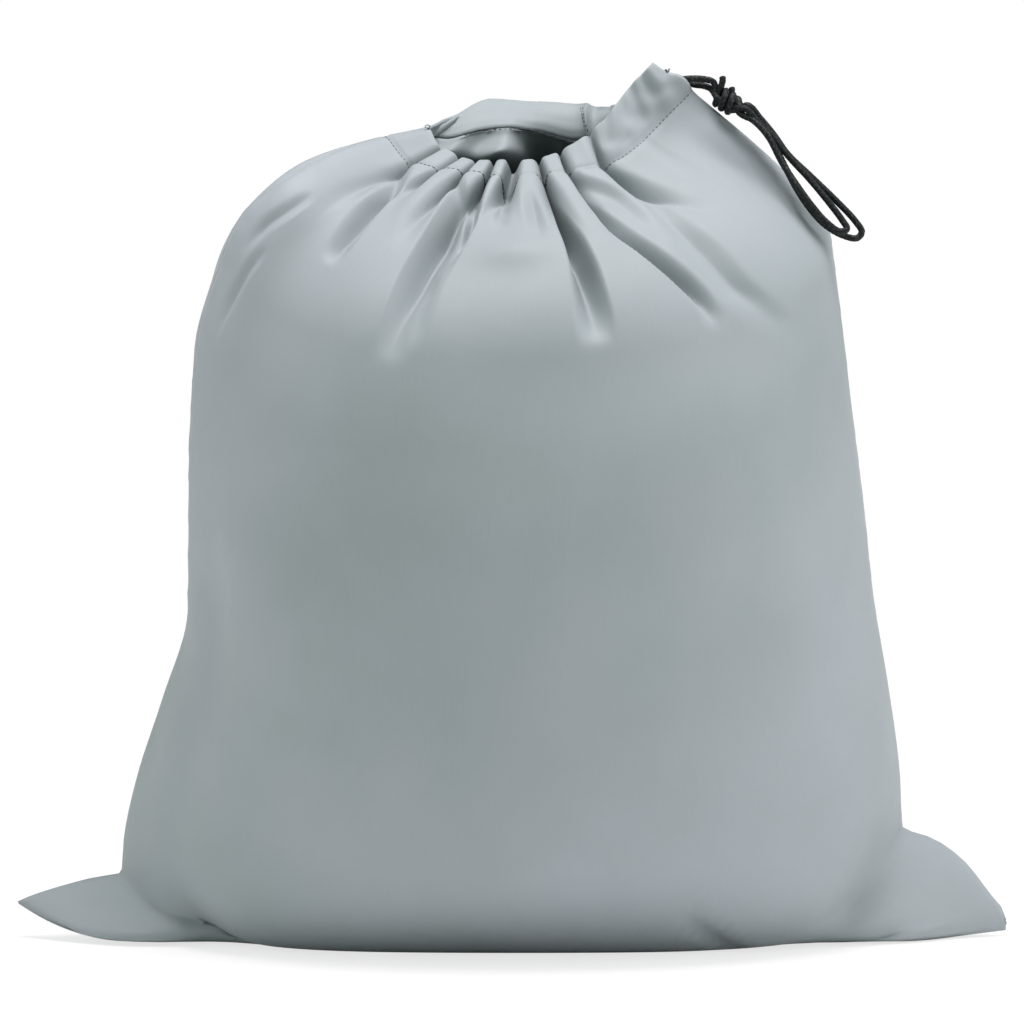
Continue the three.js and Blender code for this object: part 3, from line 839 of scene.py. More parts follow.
FRONT_FOLDS = (
    Fold(((0.498, -0.72, 0.0, 0.08, 0.05), (0.487, -0.65, 0.0058, 0.09, 0.05),
          (0.469, -0.56, 0.0078, 0.11, 0.045), (0.451, -0.526, 0.0076, 0.1, 0.04),
          (0.436, -0.512, 0.0054, 0.08, 0.04), (0.424, -0.506, 0.0, 0.06, 0.04)), 0.5, (0.0, 0.5)),
    Fold(((0.498, -0.34, 0.0, 0.03, 0.03), (0.489, -0.3, 0.003, 0.03, 0.03),
          (0.477, -0.25, 0.0076, 0.045, 0.045), (0.454, -0.226, 0.0132, 0.06, 0.06),
          (0.428, -0.228, 0.0118, 0.06, 0.05), (0.402, -0.244, 0.006, 0.05, 0.05),
          (0.384, -0.257, 0.0, 0.05, 0.05)), 0.3, (0.5, 0.3)),
    Fold(((0.498, -0.19, 0.0, 0.03, 0.03), (0.486, -0.178, 0.0085, 0.04, 0.025),
          (0.466, -0.16, 0.0105, 0.05, 0.025), (0.447, -0.17, 0.006, 0.05, 0.025),
          (0.428, -0.19, 0.0016, 0.04, 0.03), (0.416, -0.196, 0.0, 0.04, 0.03)), 0.5, (0.0, 0.8)),
    Fold(((0.436, -0.196, 0.0, 0.02, 0.03), (0.42, -0.194, 0.0024, 0.03, 0.03),
          (0.406, -0.199, 0.0022, 0.03, 0.03), (0.392, -0.206, 0.0, 0.02, 0.03)), 0.2),
    Fold(((0.486, -0.085, 0.0, 0.03, 0.04), (0.476, -0.062, 0.003, 0.04, 0.05),
          (0.46, -0.045, 0.0, 0.04, 0.05)), 0.2),
    Fold(((0.488, 0.06, 0.0, 0.04, 0.03), (0.472, 0.074, 0.0036, 0.05, 0.04),
          (0.45, 0.086, 0.0, 0.05, 0.04)), 0.2),
    Fold(((0.499, 0.175, 0.0, 0.03, 0.02), (0.488, 0.176, 0.008, 0.03, 0.022),
          (0.474, 0.174, 0.0135, 0.03, 0.026), (0.456, 0.173, 0.017, 0.032, 0.032),
          (0.436, 0.17, 0.0165, 0.034, 0.036), (0.418, 0.167, 0.0125, 0.038, 0.038),
          (0.406, 0.166, 0.007, 0.04, 0.04), (0.395, 0.165, 0.0, 0.04, 0.04)), 0.1, (0.4, 0.7)),
    Fold(((0.498, 0.33, 0.0, 0.03, 0.04), (0.48, 0.312, 0.005, 0.03, 0.05),
          (0.458, 0.318, 0.0088, 0.03, 0.058), (0.439, 0.353, 0.0108, 0.028, 0.05),
          (0.419, 0.392, 0.0096, 0.026, 0.042), (0.404, 0.42, 0.005, 0.025, 0.036),
          (0.393, 0.432, 0.0, 0.03, 0.04)), 0.7, (0.6, 0.0)),
    Fold(((0.496, 0.345, 0.0, 0.05, 0.04), (0.486, 0.4, 0.004, 0.07, 0.05),
          (0.472, 0.432, 0.0046, 0.08, 0.06), (0.456, 0.43, 0.0026, 0.07, 0.06),
          (0.442, 0.43, 0.0, 0.05, 0.05)), 0.1),
    Fold(((0.498, 0.52, 0.0, 0.03, 0.05), (0.486, 0.545, 0.005, 0.03, 0.08),
          (0.472, 0.57, 0.0048, 0.03, 0.08), (0.461, 0.605, 0.0024, 0.03, 0.06),
          (0.45, 0.635, 0.0, 0.03, 0.05)), 0.6, (0.5, 0.0)),
    Fold(((0.47, 0.52, 0.0, 0.05, 0.05), (0.452, 0.506, 0.0036, 0.07, 0.05),
          (0.432, 0.5, 0.0056, 0.08, 0.06), (0.412, 0.512, 0.0054, 0.08, 0.05),
          (0.396, 0.56, 0.0026, 0.08, 0.05), (0.378, 0.64, 0.0, 0.08, 0.05)), 0.4, (0.0, 0.2)),
    Fold(((0.112, 0.3, 0.0, 0.04, 0.03), (0.098, 0.345, 0.003, 0.05, 0.03),
          (0.084, 0.4, 0.0042, 0.05, 0.03), (0.072, 0.44, 0.0034, 0.05, 0.03),
          (0.058, 0.49, 0.0, 0.04, 0.03)), 0.2),
    Fold(((0.445, -0.84, 0.0, 0.04, 0.04), (0.432, -0.85, 0.0026, 0.05, 0.04),
          (0.415, -0.88, 0.003, 0.05, 0.04), (0.398, -0.9, 0.0, 0.04, 0.04)), 0.3, (0.0, 0.4)),
    Fold(((0.41, -0.8, 0.0, 0.04, 0.04), (0.396, -0.83, 0.0022, 0.05, 0.03),
          (0.376, -0.87, 0.0026, 0.05, 0.03), (0.356, -0.89, 0.0, 0.04, 0.03)), 0.3, (0.0, 0.4)),
)
BACK_FOLDS = (
    Fold(((0.49, -0.75, 0.0, 0.05, 0.07), (0.46, -0.73, 0.005, 0.06, 0.08),
          (0.43, -0.71, 0.005, 0.07, 0.08), (0.405, -0.7, 0.0, 0.05, 0.07)), 0.2),
    Fold(((0.494, -0.5, 0.0, 0.05, 0.06), (0.46, -0.49, 0.008, 0.08, 0.07),
          (0.42, -0.47, 0.007, 0.09, 0.07), (0.385, -0.46, 0.0, 0.06, 0.06)), 0.3, (0.0, 0.5)),
    Fold(((0.47, -0.06, 0.0, 0.1, 0.1), (0.44, -0.06, 0.01, 0.1, 0.1),
          (0.4, -0.06, 0.008, 0.08, 0.08), (0.365, -0.065, 0.0, 0.06, 0.06)), 0.4),
    Fold(((0.494, 0.2, 0.0, 0.04, 0.05), (0.46, 0.215, 0.006, 0.06, 0.06),
          (0.43, 0.23, 0.005, 0.06, 0.07), (0.4, 0.24, 0.0, 0.05, 0.06)), 0.2),
    Fold(((0.494, 0.42, 0.0, 0.04, 0.05), (0.46, 0.44, 0.009, 0.07, 0.06),
          (0.42, 0.47, 0.008, 0.08, 0.07), (0.385, 0.48, 0.0, 0.05, 0.06)), 0.3, (0.5, 0.0)),
)


@dataclass(frozen=True)
class Push:
    """A soft dent or swelling of the filled body: centre and spread in (side, run), and how far it moves."""

    at: Pair
    spread: Pair
    move: Triple = (0.0, 0.0, 0.0)

    def weight(self, side: Array, run: Array) -> Array:
        """Share of the push at each place: a bell over side times a bell over run."""
        return bell((side - self.at[0]) / self.spread[0]) * bell((run - self.at[1]) / self.spread[1])


SEAM_PUSHES = (
    Push((-0.8, 0.0), (0.15, 0.046), (0.0, -0.03, 0.0)),
    Push((0.78, 0.0), (0.13, 0.046), (0.0, -0.02, 0.0)),
    Push((-1.0, 0.15), (0.3, 0.06), (0.0, 0.005, 0.0)),
    Push((1.0, 0.25), (0.3, 0.08), (0.0, 0.004, 0.0)),
    Push((1.0, 0.5045), (0.1, 0.0055), (0.0014, 0.0, 0.0022)),
)
FRONT_PUSHES = (
    Push((-0.72, 0.062), (0.1, 0.03), (0.004, 0.007, 0.003)),
    Push((0.78, 0.084), (0.1, 0.03), (-0.002, 0.006, 0.0)),
    Push((-0.74, 0.19), (0.07, 0.09), (0.003, 0.005, 0.0)),
    Push((0.5, 0.15), (0.3, 0.07), (0.0, -0.004, 0.0)),
    Push((0.75, 0.029), (0.07, 0.007), (0.0, 0.004, -0.001)),
    Push((0.88, 0.455), (0.05, 0.02), (-0.003, 0.003, -0.002)),
    Push((0.0, 0.446), (0.11, 0.01), (0.0, -0.0035, 0.0015)),
)
BACK_PUSHES = (
    Push((0.7, 0.066), (0.1, 0.03), (-0.004, -0.006, 0.003)),
    Push((-0.76, 0.084), (0.1, 0.03), (0.002, -0.006, 0.0)),
    Push((-0.3, 0.18), (0.25, 0.08), (0.0, 0.005, 0.0)),
    Push((0.2, 0.24), (0.08, 0.08), (0.0, -0.004, 0.0)),
    Push((-0.85, 0.46), (0.15, 0.035), (-0.002, 0.0, 0.003)),
    Push((-0.36, 0.474), (0.24, 0.02), (0.0, -0.036, 0.003)),
    Push((-0.04, 0.474), (0.11, 0.018), (0.0, -0.033, 0.006)),
    Push((-0.1, 0.499), (0.28, 0.007), (0.0, 0.0, 0.003)),
)


# The hem's fold step by step: run along the casing, and the depth inside the outer layer.
HEM_RUNS = (0.5180, 0.5196, 0.5200, 0.5196, 0.5180, 0.5110, 0.5040, 0.4992)
HEM_DEPTHS = (0.0, 0.0003, 0.0010, 0.0017, 0.0022, 0.0048, 0.0044, 0.0014)
HEM_STEPS = tuple(float(i) for i in range(len(HEM_RUNS)))
HEM_FOLD = 3  # the last step before the inner layer
INNER_DEPTH = 0.0020  # past it, cloth is on the inner layer

# Half the distance between the panels at the right, where the side seam stops under the casings.
PARTING = SmoothCurve(
    (0.0, 0.478, STITCH_RUN, 0.505, EDGE_RUN), (SEAM_GAP / 2, SEAM_GAP / 2, 0.0023, 0.0068, 0.0068)
)
PARTING_FROM = 0.8


@dataclass(frozen=True)
class Unevenness:
    """Low swells of the filled cloth, puckers along its seams and creases of the casing, as sums of sines.

    Turns are radians over side or run. A wave is its turns over side and over run, and its phase. A sway is
    how far a line of puckers or creases winds, and its turns. The pairs for edge, side and run are the places
    between which a part sets in, edge being the share from the seam. pucker_runs also has where it ends.
    """

    swell: float = 0.0007
    swell_turns: Pair = (9.0, 40.0)
    swell_waves: tuple[Triple, ...] = ((1.3, 0.7, 0.4), (-0.9, 1.1, 2.1), (0.4, -1.7, 4.0))
    swell_edge: Pair = (0.0, 0.2)
    swell_run: Pair = (0.07, 0.13)
    pucker: float = 0.0005
    pucker_turns: float = 410.0
    pucker_sway: Pair = (2.0, 95.0)
    pucker_width: float = 0.035
    pucker_edge: Pair = (0.0, 0.02)
    pucker_runs: tuple[float, float, float, float] = (0.0, 0.03, 0.44, 0.49)
    crease: float = 0.0005
    crease_turns: float = 46.0
    slanted_wave: Triple = (71.0, -190.0, 1.0)
    crease_sway: Pair = (1.6, 260.0)
    crease_side: Pair = (0.45, 0.60)
    crease_run: Pair = (STITCH_RUN, 0.505)

    def out(self, side: Array, run: Array) -> Array:
        """How far the cloth stands out.

        Args:
            side: places across.
            run: places up the cloth.

        Returns:
            The distance out, for each place.
        """
        across, upwards = side * self.swell_turns[0], run * self.swell_turns[1]
        swell = sum(np.sin(a * across + b * upwards + phase) for a, b, phase in self.swell_waves)
        edge = 1.0 - np.abs(side)
        filled = smooth_step(edge, *self.swell_edge) * smooth_step(run, *self.swell_run)
        sway, turns = self.pucker_sway
        pucker = np.sin(run * self.pucker_turns + sway * np.sin(run * turns)) * bell(edge / self.pucker_width)
        start, full, fading, end = self.pucker_runs
        seam = smooth_step(edge, *self.pucker_edge) * smooth_step(run, start, full)
        seam *= 1.0 - smooth_step(run, fading, end)
        sway, turns = self.crease_sway
        a, b, phase = self.slanted_wave
        crease = np.sin(side * self.crease_turns + sway * np.sin(run * turns))
        crease += np.sin(a * side + b * run + phase)
        casing = smooth_step(run, *self.crease_run) * smooth_step(side, *self.crease_side)
        return self.swell * swell * filled + self.pucker * pucker * seam + self.crease * crease * casing


@dataclass
class Panel:
    """One cloth panel with its casing, as a sheet over (side, run).

    Fades and margins are the places over side, run or the share from the seam between which something sets in
    or ends. A density is how much closer the grid's lines are together, then where.
    """

    facing: Side
    stations: tuple[Station, ...]
    gathers: tuple[Gather, ...]
    folds: tuple[Fold, ...]
    pushes: tuple[Push, ...]
    columns: int = 330
    rows: int = 124
    hem_rows: int = 22
    thickness: float = 0.0006
    pinch_share: float = 0.8
    full_depth: float = 0.008
    open_narrow: float = 3.0
    flattening: float = 0.4
    unevenness: Unevenness = Unevenness()
    stitch_dip: float = 0.0008
    stitch_dip_width: float = 0.0014
    left_dip: float = 0.0042
    left_dip_at: Pair = (-1.0, 0.446)
    left_dip_spread: Pair = (0.024, 0.030)
    fold_margin: float = 0.12
    own_side_from: float = STITCH_RUN - 0.001
    seam_margin: float = 0.03
    seam_fades: Pair = (0.455, 0.480)
    push_fades: Pair = (0.1, 0.030)
    pull_fade: Pair = (0.5, 1.0)
    narrow_fade: Pair = (0.480, STITCH_RUN)
    centre_density: Pair = (1.6, 0.6)
    neck_density: Triple = (3.0, 0.34, 0.46)
    flat_size: Pair = (0.500, 0.545)

    def body(self, side: Array, run: Array) -> Array:
        """The filled body, from the middle of the panel round to its seam.

        Args:
            side: places across.
            run: places up the cloth, not past the shoulder.

        Returns:
            Points, with a last axis of three.
        """
        out, lie = np.abs(side), LIE(run)
        left, right, middle = (
            [column(LEVELS, "run", name, axis)(run) for axis in range(2)]
            for name in ("left", "right", self.facing.name.lower())
        )
        seam_x, seam_z = (np.where(side < 0, left[axis], right[axis]) for axis in range(2))
        across = mix(np.sin(out * math.pi / 2), out, lie)
        deep = mix(1.0 - np.cos(out * math.pi / 2), out**4, lie)
        z = mix(middle[1], seam_z, out ** CLIMB(run))
        return np.stack([seam_x * across, middle[0] * (1.0 - deep), z], axis=-1)

    def pushed(self, side: Array, run: Array) -> Array:
        """How far the dents and swellings move the sheet; the panel's own fade out at its seams.

        Args:
            side: places across.
            run: places up the cloth.

        Returns:
            The moves, with a last axis of three.
        """
        edge_fade, run_fade = self.push_fades
        off_seam = smooth_step(1.0 - np.abs(side), 0.0, edge_fade) * smooth_step(run, 0.0, run_fade)
        moved = np.zeros(side.shape + (3,))
        for pushes, share in ((SEAM_PUSHES, np.ones_like(off_seam)), (self.pushes, off_seam)):
            for push in pushes:
                moved += (share * push.weight(side, run))[..., None] * np.array(push.move)
        return moved

    def turned(self, point: Array, side: Array, run: Array) -> Array:
        """Points turned about the mouth's upright axis, most at the left seam.

        Args:
            point: the points.
            side: their places across.
            run: their places up the cloth.

        Returns:
            The turned points.
        """
        at = np.clip(run, TURNING.at[0], TURNING.at[-1])
        angle = np.radians(TURNING(at)) * bell((1.0 + side) / TURN_SPREAD)
        x, y = point[..., 0] - MOUTH_CENTRE[0], point[..., 1] - MOUTH_CENTRE[1]
        flat = MOUTH_CENTRE + np.stack(
            [x * np.cos(angle) - y * np.sin(angle), x * np.sin(angle) + y * np.cos(angle)], axis=-1
        )
        return np.concatenate([flat, point[..., 2:]], axis=-1)

    def mouth(self, side: Array, name: str) -> Array:
        """The stitch line or the hem's edge, as points over side."""
        axes = [column(self.stations, "side", name, i, level=i != 1)(side) for i in range(3)]
        return np.stack(axes, axis=-1)

    def smooth(self, side: Array, run: Array) -> Array:
        """The sheet before it is gathered: body, neck and casing in one.

        The neck is a cubic that leaves the body in its own slope and comes in to the stitch line at its
        rise. The casing goes straight from the stitch line to the edge.

        Args:
            side: places across.
            run: places up the cloth.

        Returns:
            Points, with a last axis of three.
        """
        shoulder = np.minimum(run, SHOULDER_RUN)
        point = self.body(side, shoulder)
        pull = mix(NECK_PULL, RIGHT_PULL, smooth_step(side, *self.pull_fade))[..., None]
        slope = unit(point - self.body(side, shoulder - 2 * RUN_STEP)) * pull
        stitch, edge = self.mouth(side, "stitch"), self.mouth(side, "edge")
        rises = SmoothCurve(tuple(at.side for at in self.stations), tuple(at.rise for at in self.stations))
        rise = np.tan(np.radians(rises(side)))
        inwards = unit(MOUTH_CENTRE - stitch[..., :2])
        arriving = unit(np.concatenate([inwards, rise[..., None]], axis=-1)) * pull
        q = np.clip((run - SHOULDER_RUN) / (STITCH_RUN - SHOULDER_RUN), 0.0, 1.0)[..., None]
        neck = hermite(q, point, slope, stitch, arriving)
        height = ((run - STITCH_RUN) / (EDGE_RUN - STITCH_RUN))[..., None]
        point = np.where(run[..., None] > SHOULDER_RUN, neck, point)
        point = np.where(run[..., None] > STITCH_RUN, mix(stitch, edge, height), point)
        point = self.turned(point + self.pushed(side, run), side, run)
        right = smooth_step(side, PARTING_FROM, 1.0)
        point[..., 1] += self.facing.value * mix(SEAM_GAP / 2, PARTING(run), right)
        return point

    def normal(self, side: Array, run: Array) -> Array:
        """Which way the smooth sheet faces: the cross product of its slopes along side and run.

        Args:
            side: places across.
            run: places up the cloth.

        Returns:
            The directions.
        """
        near = np.where(side > 0, side - SIDE_STEP, side)
        below = np.maximum(run - RUN_STEP, 0.0)
        across = self.smooth(near + SIDE_STEP, run) - self.smooth(near, run)
        upwards = self.smooth(side, below + RUN_STEP) - self.smooth(side, below)
        return unit(np.cross(across, upwards) * -self.facing.value)

    def gather_at(self, side: Array) -> tuple[Array, ...]:
        """Between which two valleys each place is.

        Args:
            side: places across.

        Returns:
            The width, the share across and the crest, then the valleys' depth, reach, lean and narrowness
            there.
        """
        at, crest, *line = (
            np.array([getattr(gather, name) for gather in self.gathers])
            for name in ("side", "crest", "valley", "reach", "lean", "narrow")
        )
        i = np.clip(np.searchsorted(at, side, side="right") - 1, 0, len(at) - 2)
        width = at[i + 1] - at[i]
        q = np.clip((side - at[i]) / width, 0.0, 1.0)
        return width, q, crest[i], *(mix(values[i], values[i + 1], q) for values in line)

    def gathered(self, side: Array, run: Array) -> Array:
        """How far the drawn-up casing stands out: round crests between pinched valleys, softer further down.

        Between two valleys the height is one less a power of the cosine's size, over the share across. The
        power is no more than open_narrow below the stitch line and grows to the valley's own in the casing.

        Args:
            side: places across.
            run: places up the cloth.

        Returns:
            The distance out, for each place.
        """
        _, q, crest, floor, reach, _, narrow = self.gather_at(side)
        power = mix(np.minimum(narrow, self.open_narrow), narrow, smooth_step(run, *self.narrow_fade))
        out = floor + (crest - floor) * (1.0 - np.abs(np.cos(math.pi * q)) ** power)
        fade = smooth_step((run - STITCH_RUN) / reach, -1.0, 0.0)
        height = np.clip((run - STITCH_RUN) / (EDGE_RUN - STITCH_RUN), 0.0, 1.0)
        return out * fade * (1.0 - self.flattening * height)

    def pinch(self, side: Array, run: Array) -> Array:
        """How far the walls of a gather lean over its valleys: minus the sine of twice the share across.

        Args:
            side: places across.
            run: places up the cloth.

        Returns:
            The move across, for each place.
        """
        width, q, _, floor, reach, lean, _ = self.gather_at(side)
        deep = np.clip(-floor / self.full_depth, 0.0, 1.0)
        fade = smooth_step((run - STITCH_RUN) / reach, -self.pinch_share, 0.0)
        return -lean * deep * fade * width * np.sin(2 * math.pi * q) / (2 * math.pi)

    def sheet(self, side: Array, run: Array, inside: Array) -> Array:
        """The outer face of the finished cloth.

        It stands off the smooth sheet by half the model's thickness, the gathers and the unevenness, less
        the folds, the hem's depth and the dips at the stitches and at the left. At the side seams the two
        panels' edges meet instead. The casing stays on its own side of y = 0, and nothing goes below z = 0.

        Args:
            side: places across.
            run: places up the cloth.
            inside: depth inside the outer layer, on the hem.

        Returns:
            Points, with a last axis of three.
        """
        edge = 1.0 - np.abs(side)
        pinched = side + self.pinch(side, run)
        folded = sum(fold.depth(side, run) for fold in self.folds) * smooth_step(edge, 0.0, self.fold_margin)
        dipped = self.stitch_dip * bell((run - STITCH_RUN) / self.stitch_dip_width)
        dipped += self.left_dip * Push(self.left_dip_at, self.left_dip_spread).weight(side, run)
        out = SKIN + self.gathered(side, run) + self.unevenness.out(side, run) - folded - inside - dipped
        facing = self.normal(pinched, run)
        shift = facing * out[..., None]
        sewn = (1.0 - smooth_step(edge, 0.0, self.seam_margin)) * (1.0 - smooth_step(run, *self.seam_fades))
        touching = self.facing.value * self.thickness * np.maximum(self.facing.value * facing[..., 1], 0.0)
        shift[..., 1] = mix(shift[..., 1], touching, sewn)
        point = self.smooth(pinched, run) + shift
        own = self.facing.value * np.maximum(self.facing.value * point[..., 1], SEAM_GAP / 2)
        point[..., 1] = np.where(run >= self.own_side_from, own, point[..., 1])
        point[..., 2] = np.maximum(point[..., 2], 0.0)
        return point

    def surface(self) -> Surface:
        """The whole panel's outer face as a grid, closer together at the neck, with its cloth coordinates.

        Returns:
            The surface.
        """
        centre, width = self.centre_density
        neck, low, high = self.neck_density
        side = spaced(-1.0, 1.0, self.columns, lambda x: 1.0 + centre * bell(x / width))
        run = spaced(0.0, HEM_RUNS[0], self.rows, lambda x: 1.0 + neck * smooth_step(x, low, high))[:-1]
        hem_at = np.linspace(0.0, HEM_STEPS[-1], self.hem_rows)
        hem_run, hem_depth = (SmoothCurve(HEM_STEPS, values)(hem_at) for values in (HEM_RUNS, HEM_DEPTHS))
        depth = np.concatenate([np.zeros(len(run)), hem_depth])
        side, run = np.meshgrid(side, np.concatenate([run, hem_run]))
        depth = np.broadcast_to(depth[:, None], side.shape)
        points = self.sheet(side, run, depth)
        length = np.where(depth > INNER_DEPTH, 2 * EDGE_RUN - run, run)
        cloth = np.stack([side * HALF_WIDTH, length], axis=-1).reshape(-1, 2)
        quads = grid_faces(*side.shape, flip=self.facing is Side.BACK)
        return Surface(points, quads, cloth=cloth[quads.ravel()])

    def line(self, side: Array, run: Array, hem: bool = False) -> tuple[Array, Array]:
        """A line on the finished cloth, and which way the cloth faces along it.

        The facing is the cross product of the cloth's slopes along side and run.

        Args:
            side: places across.
            run: places up the cloth.
            hem: whether it lies on the hem's inner layer, which faces the other way.

        Returns:
            The points and the directions.
        """
        wall = np.interp(run, HEM_RUNS[:HEM_FOLD:-1], HEM_DEPTHS[:HEM_FOLD:-1])
        depth = wall if hem else np.zeros(side.shape)
        across = self.sheet(side + LINE_SIDE, run, depth) - self.sheet(side - LINE_SIDE, run, depth)
        upwards = self.sheet(side, run + LINE_RUN, depth) - self.sheet(side, run - LINE_RUN, depth)
        facing = unit(np.cross(across, upwards)) * -self.facing.value
        return self.sheet(side, run, depth), -facing if hem else facing

    def build(self, finish: Material) -> Piece:
        """Args:
            finish: the cloth's material.

        Returns:
            The piece.
        """
        view = self.facing.name.lower()
        piece = self.surface().to_object(f"{view}_cloth")
        wall = piece.modifiers.new("thickness", "SOLIDIFY")
        wall.thickness = self.thickness
        wall.offset = -1.0
        dress(piece, finish, (f"{view}_panel",))
        return piece


# --- Sewing thread ---


@dataclass(frozen=True)
class Row:
    """A row of stitches on a panel: where it starts and ends in (side, run), and whether it is on the hem."""

    start: Pair
    end: Pair
    hem: bool = False


MOUTH_ROW = Row((-0.995, STITCH_RUN), (0.995, STITCH_RUN))
JOIN_ROWS = tuple(Row((side, 0.5170), (side + 0.09, 0.5000), hem=True) for side in (0.365, 0.395))


@dataclass(frozen=True)
class Stitching:
    """Lockstitch: short arched lengths of thread that dive into the cloth at both ends."""

    length: float = 0.0026
    gap: float = 0.0002
    thread: float = 0.00052
    rise: float = 0.60
    sink: float = 0.15
    thinnest: float = 0.12
    stations: int = 7
    around: int = 6
    cuts: int = 2500

    def row(self, panel: Panel, row: Row) -> Surface:
        """The stitches of a row, at even steps of its length on the gathered cloth.

        A stitch rises by the sine of its share of the way, and its radius goes with the root of the sine.

        Args:
            panel: the panel it is sewn on.
            row: the row.

        Returns:
            The stitches.
        """
        share = np.linspace(0.0, 1.0, self.cuts)
        side = mix(row.start[0], row.end[0], share)
        run = mix(row.start[1], row.end[1], share)
        line, facing = panel.line(side, run, row.hem)
        along = arc_lengths(line)
        count = int(along[-1] / self.length)
        t = np.linspace(0.0, 1.0, self.stations)
        at = (np.arange(count)[:, None] + 0.5) * self.length + (t - 0.5) * (self.length - self.gap)
        up = unit(places_at(at, along, facing))
        arch = np.sin(math.pi * t)
        paths = places_at(at, along, line) + up * (self.thread * (self.rise * arch - self.sink))[:, None]
        radius = self.thread / 2 * np.sqrt(np.clip(arch, self.thinnest, 1.0))
        return tubes(paths, up, radius[:, None], self.around)

    def build(self, name: str, sewn: list[tuple[Panel, Row]], finish: Material) -> Piece:
        """Sews rows of stitches as one piece.

        Args:
            name: the piece's name.
            sewn: each row with its panel.
            finish: the thread's material.

        Returns:
            The piece.
        """
        piece = joined([self.row(panel, row) for panel, row in sewn]).to_object(name)
        dress(piece, finish)
        return piece


@dataclass(frozen=True)
class LooseEnd:
    """A cut end of sewing thread that curls away from a seam's end."""

    name: str
    root: Triple
    towards: Triple
    length: float
    curl: float
    turns: float
    thread: float
    across: Triple = (0.3, 0.9, 0.2)
    taper: float = 0.4
    stations: int = 60
    around: int = 8

    def build(self, finish: Material) -> Piece:
        """Makes the thread: a helix whose radius grows with the share of the way.

        Args:
            finish: the thread's material.

        Returns:
            The piece.
        """
        t = np.linspace(0.0, 1.0, self.stations)[:, None]
        ahead = unit(np.array(self.towards))
        side = unit(np.cross(ahead, self.across))
        turn = 2 * math.pi * self.turns * t
        sway = np.cos(turn) * side + np.sin(turn) * np.cross(ahead, side)
        path = np.array(self.root) + ahead * self.length * t + sway * self.curl * t
        radius = self.thread / 2 * (1.0 - self.taper * t.T[..., None] ** 3)
        piece = tubes(path[None], side, radius, self.around).to_object(self.name)
        dress(piece, finish)
        return piece


LOOSE_ENDS = (
    LooseEnd("thread_end_left", (-0.041, -0.0015, 0.4035), (-0.2, -0.6, 0.5), 0.0042, 0.0014, 2.2, 0.0006),
    LooseEnd("thread_end_right", (0.0745, -0.0072, 0.4328), (1.0, 0.0, 0.1), 0.0036, 0.0013, 1.9, 0.001),
    LooseEnd("thread_end_corner", (0.2475, -0.0008, 0.004), (0.2, -0.2, 0.9), 0.005, 0.0006, 1.2, 0.0005),
)


# --- The drawcord ---

Route = tuple[Triple, ...]

FRONT_STRAND: Route = (
    (0.071, -0.0082, 0.4195), (0.0753, -0.0083, 0.424), (0.08, -0.0073, 0.4278), (0.0855, -0.0058, 0.4291),
    (0.091, -0.0046, 0.4294), (0.096, -0.004, 0.429), (0.1, -0.0042, 0.4276),
)
BACK_STRAND: Route = (
    (0.0724, 0.0109, 0.4194), (0.0766, 0.0099, 0.4238), (0.0809, 0.0078, 0.4272), (0.0855, 0.0056, 0.428),
    (0.0909, 0.0022, 0.4265), (0.0952, -0.0002, 0.4259), (0.0988, -0.0016, 0.4244),
)
OUTER_LOOP: Route = (
    (0.1172, -0.007, 0.416), (0.1232, -0.0076, 0.4096), (0.1295, -0.0086, 0.402), (0.1368, -0.0108, 0.3918),
    (0.148, -0.0134, 0.381), (0.1604, -0.0158, 0.369), (0.1698, -0.0174, 0.359), (0.173, -0.0182, 0.3536),
    (0.1706, -0.0188, 0.3506), (0.163, -0.0192, 0.3522), (0.1544, -0.0206, 0.3574), (0.1468, -0.022, 0.3656),
    (0.1402, -0.0168, 0.376), (0.1336, -0.0098, 0.3894), (0.1284, -0.0054, 0.4006), (0.1238, -0.0046, 0.4056),
    (0.1186, -0.0046, 0.4096), (0.1128, -0.005, 0.4126),
)
INNER_LOOP: Route = (
    (0.1158, -0.0104, 0.4144), (0.122, -0.0112, 0.408), (0.129, -0.012, 0.4008), (0.1368, -0.0144, 0.391),
    (0.1474, -0.0174, 0.3794), (0.1566, -0.02, 0.3682), (0.163, -0.0218, 0.3596), (0.1654, -0.0228, 0.3552),
    (0.1618, -0.0236, 0.354), (0.1548, -0.0248, 0.3588), (0.148, -0.026, 0.3664), (0.1412, -0.0232, 0.3758),
    (0.1334, -0.018, 0.388), (0.1276, -0.0154, 0.3994), (0.1234, -0.0136, 0.405), (0.1188, -0.0112, 0.4092),
    (0.1142, -0.0088, 0.4116),
)
FRONT_END: Route = ((0.1045, -0.0052, 0.4284), (0.1043, -0.005, 0.4308))
BACK_END: Route = ((0.1091, -0.0046, 0.4236), (0.109, -0.0042, 0.4254))


